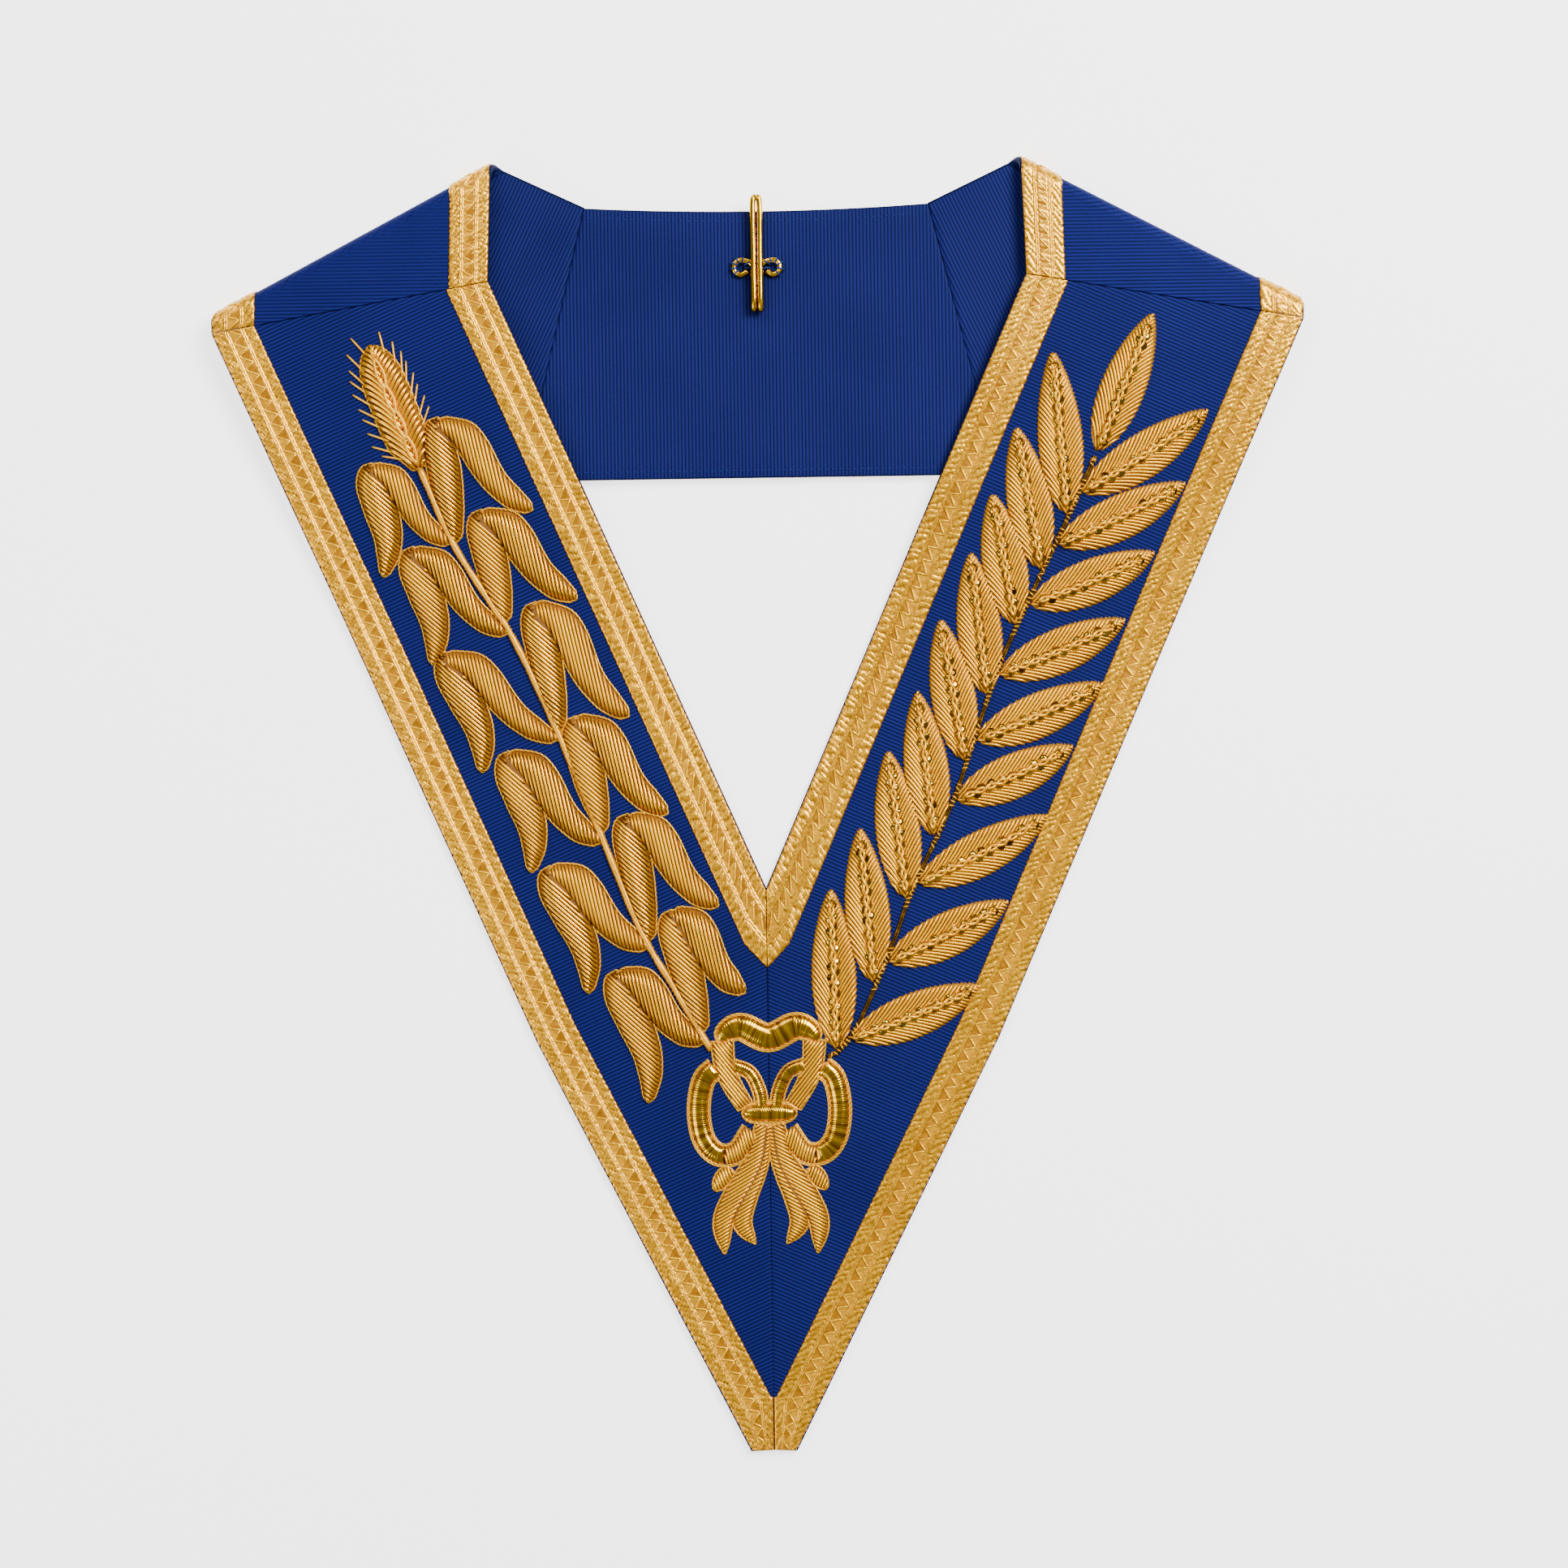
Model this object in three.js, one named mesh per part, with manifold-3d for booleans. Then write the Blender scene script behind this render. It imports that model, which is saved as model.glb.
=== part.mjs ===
// Embroidered V collar of royal blue ribbed ribbon, lying flat with its front face up.
// Millimetres, +Z up. +Y runs from the tip of the V to the neck edge, and X = 0 is the centre seam.
import * as THREE from 'three';
import { mergeVertices } from 'three/addons/utils/BufferGeometryUtils.js';
import Module from 'manifold-3d';

const wasm = await Module();
wasm.setup();

const degrees = THREE.MathUtils.degToRad;

// Ribbon, lace and seams
const RIBBON_WIDTH = 101.6;
const CLOTH_THICKNESS = 2;
const LACE_WIDTH = 16.2;
const LACE_THICKNESS = 0.7;
const LACE_CORD_RISE = 0.4;
const SEAM_GAP = 0.3;

// Front bands, from the tip of the V up to the shoulder seams
const NOTCH_HEIGHT = 210.5;
const KNEE_HEIGHT = 154.3;
const TIP_HALF_WIDTH = 8.2;
const BAND_LENGTH = 250;
const BAND_LEAN = degrees(23.7);
const SEAM_SLANT = degrees(13.9);
const LACE_POINT_DROP = 30;
const LACE_POINT_REACH = 28;

// Shoulder pieces, folded over from the front to the back
const SHOULDER_RISE_INNER = 44;
const SHOULDER_RISE_OUTER = 7;
const SHOULDER_TURN = degrees(1.8);
const FOLD_RADIUS = 3;
const NECK_EDGE_LENGTH = 38.4;
const NECK_EDGE_SLOPE = degrees(25.3);
const BACK_SEAM_SLANT = degrees(13.8);
const NECK_SAG = 2;
const FRONT_RAMP_LENGTH = 75;

// Padded embroidery
const STEM_WIDTH = 2.1;
const STEM_HEIGHT = 1.2;
const TWIG_WIDTH = 1.5;
const PAD_RIM = 0.6;
const LOBE_WIDTH = 11.3;
const LOBE_HEIGHT = 3;
const HEAD_SPREAD = 1.9;
const SICKLE_SAG = 10.5;
const STRAIGHT_SAG = 1;
const LEAF_LENGTH = 56;
const LEAF_WIDTH = 17;
const LEAF_HEIGHT = 1.9;
const LEAF_BEND = 3;
const EAR_WIDTH = 18;
const EAR_HEIGHT = 2.6;

// Bow
const BOW_WIDTH = 60;
const BOW_HEIGHT = 90.5;
const BOW_DROP = 47;
const BOW_PLATE_HEIGHT = 2.6;
const BOW_PURL_HEIGHT = 2.2;

// Wire hook at the middle of the back
const HOOK_WIRE = 2;
const HOOK_LENGTH = 44;
const HOOK_OVERHANG = 6;
const HOOK_SPACING = 2.5;
const HOOK_BEND_RADIUS = 1.6;
const HOOK_EYE_RADIUS = 2.7;
const HOOK_EYE_RISE = 17;

// Fineness of the meshes
const ROW_STEP = 25;
const PAD_STATIONS = 7;
const FOLD_STEPS = 6;
const BACK_STEPS = 6;
const WIRE_STEPS = 52;
const WIRE_SIDES = 6;

const UP = new THREE.Vector3(0, 0, 1);
const DOWN = new THREE.Vector3(0, 0, -1);

function paint(color, roughness, metalness) {
  return new THREE.MeshStandardMaterial({ color, roughness, metalness });
}

const paints = {
  ribbon: paint('#0f3391', 0.75, 0),
  lining: paint('#123a8c', 0.8, 0),
  lace: paint('#d9a545', 0.45, 0.7),
  purl: paint('#dca33a', 0.4, 0.8),
  plate: paint('#c9a24a', 0.2, 0.95),
  brass: paint('#c99a3c', 0.25, 1),
};

const point = (x, y) => new THREE.Vector2(x, y);
const shifted = (from, direction, distance) => from.clone().addScaledVector(direction, distance);

// Crossing of the line through p along d with the line through q along e.
function crossing(p, d, q, e) {
  const distance = ((q.x - p.x) * e.y - (q.y - p.y) * e.x) / (d.x * e.y - d.y * e.x);
  return shifted(p, d, distance);
}

const directionTo = (from, to) => to.clone().sub(from).normalize();

// Corners of the right half in plan. Every left piece is the mirror image of its right one.
const along = point(Math.sin(BAND_LEAN), Math.cos(BAND_LEAN));
const across = point(Math.cos(BAND_LEAN), -Math.sin(BAND_LEAN));
const centre = SEAM_GAP / 2;
const notch = point(centre, NOTCH_HEIGHT);
const outerNotch = shifted(notch, across, RIBBON_WIDTH);
const tipInner = point(centre, 0);
const tipOuter = point(TIP_HALF_WIDTH, 0);
const knee = crossing(outerNotch, along, point(0, KNEE_HEIGHT), point(1, 0));
const seamInner = shifted(notch, along, BAND_LENGTH);
const seamOuter = shifted(outerNotch, along, BAND_LENGTH + RIBBON_WIDTH * Math.tan(SEAM_SLANT));

const shoulderAlong = point(-Math.sin(SHOULDER_TURN), Math.cos(SHOULDER_TURN));
const foldInner = shifted(seamInner, shoulderAlong, SHOULDER_RISE_INNER);
const foldOuter = shifted(seamOuter, shoulderAlong, SHOULDER_RISE_OUTER);
const foldLine = directionTo(foldInner, foldOuter);
const foldOutward = point(-foldLine.y, foldLine.x);
const neckLine = point(-Math.cos(NECK_EDGE_SLOPE), -Math.sin(NECK_EDGE_SLOPE));
const backInner = shifted(foldInner, neckLine, NECK_EDGE_LENGTH);
const backSeamLine = point(Math.sin(BACK_SEAM_SLANT), -Math.cos(BACK_SEAM_SLANT));
const backOuter = shifted(backInner, backSeamLine, RIBBON_WIDTH / Math.cos(BACK_SEAM_SLANT));

// Heights of the middle of the cloth
const laceStack = LACE_THICKNESS + LACE_CORD_RISE + SEAM_GAP;
const backLevel = laceStack + CLOTH_THICKNESS / 2;
const shoulderLevel = backLevel + 2 * FOLD_RADIUS;
const rampTop = seamOuter.y;
const rampFoot = backOuter.y - FRONT_RAMP_LENGTH;

// The front bands lie on the ground at the V and climb over the back panel to the shoulders.
function frontLevel(y) {
  const share = THREE.MathUtils.smoothstep(y, rampFoot, rampTop);
  return CLOTH_THICKNESS / 2 + (shoulderLevel - CLOTH_THICKNESS / 2) * share;
}

// A row crosses a sheet from one edge to the other. Its level is null where the sheet is a front band.
function row(from, to, level = null, normal = UP) {
  return { from, to, level, normal };
}

function spot(line, share) {
  const plan = line.from.clone().lerp(line.to, share);
  return new THREE.Vector3(plan.x, plan.y, line.level ?? frontLevel(plan.y));
}

// Rows that join two outlines with the same corners, closely enough to follow the ramp.
function rowsBetween(fromCorners, toCorners, level = null, normal = UP) {
  const rows = [row(fromCorners[0], toCorners[0], level, normal)];
  for (let corner = 1; corner < fromCorners.length; corner += 1) {
    const fromLeg = [fromCorners[corner - 1], fromCorners[corner]];
    const toLeg = [toCorners[corner - 1], toCorners[corner]];
    const longest = Math.max(fromLeg[0].distanceTo(fromLeg[1]), toLeg[0].distanceTo(toLeg[1]));
    const steps = Math.ceil(longest / ROW_STEP);
    for (let step = 1; step <= steps; step += 1) {
      const from = fromLeg[0].clone().lerp(fromLeg[1], step / steps);
      const to = toLeg[0].clone().lerp(toLeg[1], step / steps);
      rows.push(row(from, to, level, normal));
    }
  }
  return rows;
}

function meshData(positions, index) {
  const geometry = new THREE.BufferGeometry();
  geometry.setAttribute('position', new THREE.Float32BufferAttribute(positions, 3));
  geometry.setIndex(index);
  return geometry;
}

function signedVolume(geometry) {
  const positions = geometry.getAttribute('position');
  const index = geometry.getIndex();
  const corners = [0, 1, 2].map(() => new THREE.Vector3());
  let volume = 0;
  for (let start = 0; start < index.count; start += 3) {
    corners.forEach((corner, offset) => corner.fromBufferAttribute(positions, index.getX(start + offset)));
    volume += corners[0].dot(corners[1].cross(corners[2])) / 6;
  }
  return volume;
}

function turnedOut(geometry) {
  if (signedVolume(geometry) < 0) {
    geometry.index.array.reverse();
  }
  return geometry;
}

function mirrored(geometry) {
  const copy = geometry.clone();
  copy.scale(-1, 1, 1);
  return turnedOut(copy);
}

// A closed solid from rings with the same number of points, capped at both ends.
function ringSolid(rings) {
  const size = rings[0].length;
  const positions = rings.flat().flatMap((vertex) => [vertex.x, vertex.y, vertex.z]);
  const index = [];
  for (let ring = 0; ring + 1 < rings.length; ring += 1) {
    for (let side = 0; side < size; side += 1) {
      const next = (side + 1) % size;
      const a = ring * size + side;
      const b = ring * size + next;
      index.push(a, b, b + size, a, b + size, a + size);
    }
  }
  const last = (rings.length - 1) * size;
  for (const [low, high] of capPairs(size)) {
    const a = low;
    const b = low + 1;
    const c = high;
    const d = high - 1;
    index.push(a, c, b);
    index.push(last + a, last + b, last + c);
    if (d > b) {
      index.push(b, c, d);
      index.push(last + b, last + d, last + c);
    }
  }
  return turnedOut(meshData(positions, index));
}

// Pairs of facing points that zip a ring shut, its first half against its second half read backwards.
function capPairs(size) {
  const pairs = [];
  for (let low = 0, high = size - 1; high - low > 1; low += 1, high -= 1) {
    pairs.push([low, high]);
  }
  return pairs;
}

// Cloth or lace: each row gives a ring of points above and below the middle of the cloth.
function sheetSolid(rows, strips) {
  const rings = rows.map((line) => {
    const low = strips.map((strip) => spot(line, strip.share).addScaledVector(line.normal, strip.low));
    const high = strips.map((strip) => spot(line, strip.share).addScaledVector(line.normal, strip.high));
    return [...low, ...high.reverse()];
  });
  return ringSolid(rings);
}

const clothStrips = [0, 0.25, 0.5, 0.75, 1].map((share) => ({
  share,
  low: -CLOTH_THICKNESS / 2,
  high: CLOTH_THICKNESS / 2,
}));

// Lace has a flat rim and a raised middle between two cords.
const laceProfile = [
  { share: 0, rise: 0 },
  { share: 0.3, rise: LACE_CORD_RISE },
  { share: 0.7, rise: LACE_CORD_RISE },
  { share: 1, rise: 0 },
];
const laceBase = CLOTH_THICKNESS / 2 + SEAM_GAP;
const laceStrips = laceProfile.map(({ share, rise }) => ({
  share,
  low: laceBase,
  high: laceBase + LACE_THICKNESS + rise,
}));

// The rows of a lace that runs along one edge of a sheet at its full width, whatever way the rows slant.
function edgeRows(rows, edge) {
  const outer = edge === 'outer';
  const edgeSpots = rows.map((line) => spot(line, outer ? 1 : 0));
  return rows.map((line, place) => {
    const before = edgeSpots[Math.max(place - 1, 0)];
    const after = edgeSpots[Math.min(place + 1, rows.length - 1)];
    const run = after.clone().sub(before).normalize();
    const reach = spot(line, 1).sub(spot(line, 0));
    const slant = Math.sqrt(1 - reach.clone().normalize().dot(run) ** 2);
    const share = LACE_WIDTH / slant / reach.length();
    const start = line.from.clone().lerp(line.to, outer ? 1 - share : 0);
    const end = line.from.clone().lerp(line.to, outer ? 1 : share);
    return row(start, end, line.level, line.normal);
  });
}

// Front band, right side
const seamDirection = directionTo(seamInner, seamOuter);
const bandSeamInner = shifted(seamInner, along, -SEAM_GAP / 2);
const bandSeamOuter = shifted(seamOuter, along, -SEAM_GAP / 2);
const bandRows = rowsBetween([bandSeamInner, notch, tipInner], [bandSeamOuter, knee, tipOuter]);

function frontInnerLaceRows() {
  const offset = shifted(notch, across, LACE_WIDTH);
  const top = crossing(bandSeamInner, seamDirection, offset, along);
  const bend = shifted(offset, along, -LACE_POINT_DROP + LACE_POINT_REACH / 2);
  const lacePoint = point(centre, NOTCH_HEIGHT - LACE_POINT_DROP);
  const innerBend = shifted(notch, along, LACE_WIDTH / 2);
  return rowsBetween([bandSeamInner, innerBend, notch], [top, bend, lacePoint]);
}

function frontOuterLaceRows() {
  const lowerLine = directionTo(knee, tipOuter);
  const inward = point(lowerLine.y, -lowerLine.x);
  const upperEdge = shifted(knee, across, -LACE_WIDTH);
  const lowerEdge = shifted(knee, inward, LACE_WIDTH);
  const top = crossing(bandSeamOuter, seamDirection, upperEdge, along);
  const bend = crossing(upperEdge, along, lowerEdge, lowerLine);
  const meeting = crossing(lowerEdge, lowerLine, tipInner, point(0, 1));
  const opposite = shifted(meeting, inward, -LACE_WIDTH);
  return rowsBetween([top, bend, meeting, tipInner], [bandSeamOuter, knee, opposite, tipOuter]);
}

// Shoulder, right side: its rows run from the seam up to the fold, round it and back below
function shoulderRows() {
  const axisInset = -(FOLD_RADIUS + CLOTH_THICKNESS / 2);
  const axisInner = shifted(foldInner, foldOutward, axisInset);
  const axisOuter = shifted(foldOuter, foldOutward, axisInset);
  const seamFrom = shifted(seamInner, shoulderAlong, SEAM_GAP / 2);
  const seamTo = shifted(seamOuter, shoulderAlong, SEAM_GAP / 2);
  const front = rowsBetween([seamFrom, axisInner], [seamTo, axisOuter], shoulderLevel, UP);
  const roll = [];
  for (let step = 1; step < FOLD_STEPS; step += 1) {
    const angle = Math.PI / 2 - (Math.PI * step) / FOLD_STEPS;
    const push = FOLD_RADIUS * Math.cos(angle);
    const level = backLevel + FOLD_RADIUS + FOLD_RADIUS * Math.sin(angle);
    const lean = foldOutward.clone().multiplyScalar(Math.cos(angle));
    const normal = new THREE.Vector3(lean.x, lean.y, Math.sin(angle));
    const [inner, outer] = [axisInner, axisOuter].map((axis) => shifted(axis, foldOutward, push));
    roll.push(row(inner, outer, level, normal));
  }
  const back = rowsBetween([axisInner, backInner], [axisOuter, backOuter], backLevel, DOWN);
  return [...front, ...roll, ...back];
}

// Back panel between the two back seams, its neck edge sagging a little at the middle
function backRows() {
  const rows = [];
  for (let step = -BACK_STEPS; step <= BACK_STEPS; step += 1) {
    const share = step / BACK_STEPS;
    const sag = NECK_SAG * (1 - share * share);
    const from = point((backInner.x - SEAM_GAP) * share, backInner.y - sag);
    const to = point((backOuter.x - SEAM_GAP) * share, backOuter.y);
    rows.push(row(from, to, backLevel, DOWN));
  }
  return rows;
}

// Embroidery is worked flat on the plan and then laid on the face of the front bands.
function solidOf(geometry) {
  const merged = mergeVertices(geometry, 1e-4);
  const mesh = new wasm.Mesh({
    numProp: 3,
    vertProperties: new Float32Array(merged.getAttribute('position').array),
    triVerts: new Uint32Array(merged.getIndex().array),
  });
  return new wasm.Manifold(mesh);
}

function geometryOf(solid) {
  const mesh = solid.getMesh();
  return meshData([...mesh.vertProperties], [...mesh.triVerts]);
}

function laidOnFront(geometry) {
  const positions = geometry.getAttribute('position');
  for (let vertex = 0; vertex < positions.count; vertex += 1) {
    const face = frontLevel(positions.getY(vertex)) + CLOTH_THICKNESS / 2 + SEAM_GAP;
    positions.setZ(vertex, positions.getZ(vertex) + face);
  }
  return geometry;
}

// A padded strip along a path in plan: flat below, domed above, its width set by a profile of t.
function padRings(pad, extraWidth, base, heightAt) {
  const rings = [];
  for (let station = 0; station <= pad.stations; station += 1) {
    const t = (1 - Math.cos((Math.PI * station) / pad.stations)) / 2;
    const middle = pad.path.getPoint(t);
    const tangent = pad.path.getTangent(t);
    const side = point(-tangent.y, tangent.x);
    const end = station === 0 ? -1 : Number(station === pad.stations);
    const place = shifted(middle, tangent, end * extraWidth);
    const half = (pad.width / 2) * pad.profile(t) + extraWidth;
    const bottom = [-1, 1].map((share) => shifted(place, side, share * half));
    const top = pad.shares.map((share) => ({ share, plan: shifted(place, side, share * half) }));
    rings.push([
      ...bottom.map((plan) => new THREE.Vector3(plan.x, plan.y, base)),
      ...top.map(({ share, plan }) => new THREE.Vector3(plan.x, plan.y, heightAt(share, pad.profile(t)))),
    ]);
  }
  return rings;
}

const DOME_SHARES = [1, 0.6, 0, -0.6, -1];
const RIDGE_SHARES = [1, 0, -1];
const CUTTER_DEPTH = 2;
const CUTTER_HEIGHT = 6;

function makePad(path, width, height, profile, shares = DOME_SHARES, stations = PAD_STATIONS) {
  const pad = { path, width, height, profile, shares, stations };
  const crown = height - PAD_RIM;
  const heightAt = (share, fullness) => PAD_RIM + crown * fullness * Math.sqrt(1 - share * share);
  const body = solidOf(ringSolid(padRings(pad, 0, 0, heightAt)));
  const room = solidOf(ringSolid(padRings(pad, SEAM_GAP, -CUTTER_DEPTH, () => CUTTER_HEIGHT)));
  return { body, room };
}

function joined(pads) {
  return {
    body: pads.map((pad) => pad.body).reduce((whole, next) => whole.add(next)),
    room: pads.map((pad) => pad.room).reduce((whole, next) => whole.add(next)),
  };
}

// The room that a front lace needs in plan, so that no embroidery reaches under it.
const laceRoomStrips = [-SEAM_GAP / LACE_WIDTH, 1 + SEAM_GAP / LACE_WIDTH].map((share) => ({
  share,
  low: -CUTTER_DEPTH,
  high: CUTTER_HEIGHT,
}));

function laceRoom(rows) {
  const flatRows = rows.map((line) => row(line.from, line.to, 0));
  const room = sheetSolid(flatRows, laceRoomStrips);
  return solidOf(room).add(solidOf(mirrored(room)));
}

const purlPiece = (name, pad) => ({ name, pad, material: paints.purl });
const platePiece = (name, pad) => ({ name, pad, material: paints.plate });

// Pieces listed first keep their shape, and each later one is cut clear of those before it.
function fitted(pieces, rooms) {
  let taken = rooms.reduce((whole, next) => whole.add(next));
  return pieces.map(({ name, pad, material }) => {
    const body = pad.body.subtract(taken);
    taken = taken.add(pad.room);
    return { name, material, geometry: laidOnFront(geometryOf(body)) };
  });
}

// Width profiles along a path, from its start at 0 to its end at 1
const POINT_WIDTH = 0.06;
const LOBE_SHAPE = { headLength: 0.14, taperFrom: 0.4, taperPower: 1.5 };
const LEAF_FULLNESS = 0.8;
const EAR_SHAPE = { footWidth: 0.3, footGrowth: 1.6, crownFrom: 0.7, crownWidth: 0.18 };
const ROUND_SHAPE = { power: 4, endWidth: 0.24 };
const TAIL_SHAPE = { rootWidth: 0.62, rootGrowth: 0.9, taperPower: 5 };
const RIBBON_TAPER = 0.25;

const steadyProfile = () => 1;
const leafProfile = (t) => Math.max(POINT_WIDTH, Math.sin(Math.PI * t) ** LEAF_FULLNESS);
const ribbonProfile = (t) => 1 - RIBBON_TAPER * t;

function lobeProfile(t) {
  const head = Math.sqrt(1 - (1 - Math.min(t / LOBE_SHAPE.headLength, 1)) ** 2);
  const taper = Math.max(0, (t - LOBE_SHAPE.taperFrom) / (1 - LOBE_SHAPE.taperFrom));
  return Math.max(POINT_WIDTH, head * Math.cos((Math.PI / 2) * taper ** LOBE_SHAPE.taperPower));
}

function earProfile(t) {
  const foot = Math.min(1, EAR_SHAPE.footWidth + EAR_SHAPE.footGrowth * t);
  const crown = Math.max(0, (t - EAR_SHAPE.crownFrom) / (1 - EAR_SHAPE.crownFrom));
  return Math.max(EAR_SHAPE.crownWidth, foot * Math.sqrt(Math.max(0, 1 - crown ** 2)));
}

function roundedProfile(t) {
  return Math.max(ROUND_SHAPE.endWidth, Math.sqrt(1 - Math.abs(2 * t - 1) ** ROUND_SHAPE.power));
}

function tailProfile(t) {
  const root = Math.min(1, TAIL_SHAPE.rootWidth + TAIL_SHAPE.rootGrowth * t);
  return Math.max(POINT_WIDTH, root * Math.cos((Math.PI / 2) * t ** TAIL_SHAPE.taperPower));
}

// Places on a front band, as a share of its length up from the notch and of its width from the neck side
function onBand(side, shareAlong, shareAcross) {
  const onEdge = shifted(notch, along, shareAlong * BAND_LENGTH);
  const place = shifted(onEdge, across, shareAcross * RIBBON_WIDTH);
  return point(side * place.x, place.y);
}

// Places on the bow, as a share of its half width from the centre seam and of its height up from its foot
function onBow(side, { across, up }) {
  const foot = NOTCH_HEIGHT - BOW_DROP - BOW_HEIGHT;
  return point((side * across * BOW_WIDTH) / 2, foot + up * BOW_HEIGHT);
}

// Where a stem runs in under the bow, as shares of its band
function bowJoin(stop) {
  const reach = onBow(1, stop).sub(notch);
  return { along: reach.dot(along) / BAND_LENGTH, across: reach.dot(across) / RIBBON_WIDTH };
}

function stemCurve(side, stem) {
  return new THREE.SplineCurve(stem.map((stop) => onBand(side, stop.along, stop.across)));
}

function stemAcross(stem, shareAlong) {
  const next = Math.max(1, stem.findIndex((stop) => stop.along <= shareAlong));
  const [above, below] = [stem[next - 1], stem[next]];
  const share = (above.along - shareAlong) / (above.along - below.along);
  return THREE.MathUtils.lerp(above.across, below.across, share);
}

function makeStem(side, stem, width) {
  const stations = 2 * stem.length;
  return makePad(stemCurve(side, stem), width, STEM_HEIGHT, steadyProfile, RIDGE_SHARES, stations);
}

// Left branch: an ear of corn over arched leaves, in shares of the band's length and width
const WHEAT_STEM = [
  { along: 0.788, across: 0.514 },
  { along: 0.67, across: 0.518 },
  { along: 0.576, across: 0.489 },
  { along: 0.5, across: 0.463 },
  { along: 0.355, across: 0.457 },
  { along: 0.176, across: 0.47 },
  { along: 0.024, across: 0.483 },
  { along: -0.08, across: 0.458 },
  bowJoin({ across: 0.72, up: 0.857 }),
];
const EAR_PATH = [
  { along: 0.79, across: 0.514 },
  { along: 0.88, across: 0.507 },
  { along: 0.985, across: 0.492 },
];
// Each arch rises from the stem to its apex and comes down again at its free tip.
const ARCHES = [
  { name: 'inner_1', side: -1, apex: [0.84, 0.338], tip: [0.664, 0.202], foot: 0.668 },
  { name: 'outer_1', side: 1, apex: [0.82, 0.638], tip: [0.666, 0.801], foot: 0.67 },
  { name: 'inner_2', side: -1, apex: [0.69, 0.338], tip: [0.516, 0.189], foot: 0.529 },
  { name: 'outer_2', side: 1, apex: [0.682, 0.627], tip: [0.516, 0.772], foot: 0.512 },
  { name: 'inner_3', side: -1, apex: [0.53, 0.292], tip: [0.323, 0.196], foot: 0.346 },
  { name: 'outer_3', side: 1, apex: [0.52, 0.675], tip: [0.338, 0.771], foot: 0.336 },
  { name: 'inner_4', side: -1, apex: [0.35, 0.334], tip: [0.166, 0.214], foot: 0.181 },
  { name: 'outer_4', side: 1, apex: [0.344, 0.619], tip: [0.171, 0.76], foot: 0.168 },
  { name: 'inner_5', side: -1, apex: [0.183, 0.31], tip: [0.008, 0.187], foot: 0.004 },
  { name: 'outer_5', side: 1, apex: [0.163, 0.654], tip: [-0.03, 0.753], foot: -0.005 },
  { name: 'inner_6', side: -1, apex: [0.026, 0.308], tip: [-0.127, 0.229], foot: -0.154 },
  { name: 'outer_6', side: 1, apex: [-0.022, 0.588], tip: [-0.217, 0.719], foot: -0.17 },
];

// The lobe that spreads towards the neck opening is sickle shaped and the other one nearly straight.
function lobePath(head, end, curveToward, sag) {
  const middle = head.clone().lerp(end, 0.45);
  const bend = shifted(middle, directionTo(middle, curveToward), sag);
  return new THREE.QuadraticBezierCurve(head, bend, end);
}

function makeArch({ side, apex, tip, foot }) {
  const spread = HEAD_SPREAD / RIBBON_WIDTH;
  const footOffset = (side * (STEM_WIDTH / 2 + SEAM_GAP + PAD_RIM)) / RIBBON_WIDTH;
  const footPoint = onBand(-1, foot, stemAcross(WHEAT_STEM, foot) + footOffset);
  const tipPoint = onBand(-1, tip[0], tip[1]);
  const [neckEnd, rimEnd] = side < 0 ? [tipPoint, footPoint] : [footPoint, tipPoint];
  const neckPath = lobePath(onBand(-1, apex[0], apex[1] - spread), neckEnd, rimEnd, SICKLE_SAG);
  const rimPath = lobePath(onBand(-1, apex[0], apex[1] + spread), rimEnd, neckEnd, STRAIGHT_SAG);
  return joined([neckPath, rimPath].map((path) => makePad(path, LOBE_WIDTH, LOBE_HEIGHT, lobeProfile)));
}

function wheatBranch() {
  const earPath = new THREE.SplineCurve(EAR_PATH.map((stop) => onBand(-1, stop.along, stop.across)));
  return [
    purlPiece('wheat_ear', makePad(earPath, EAR_WIDTH, EAR_HEIGHT, earProfile)),
    platePiece('wheat_stem', makeStem(-1, WHEAT_STEM, STEM_WIDTH)),
    ...ARCHES.map((arch) => purlPiece(`arch_leaf_${arch.name}`, makeArch(arch))),
  ];
}

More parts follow.
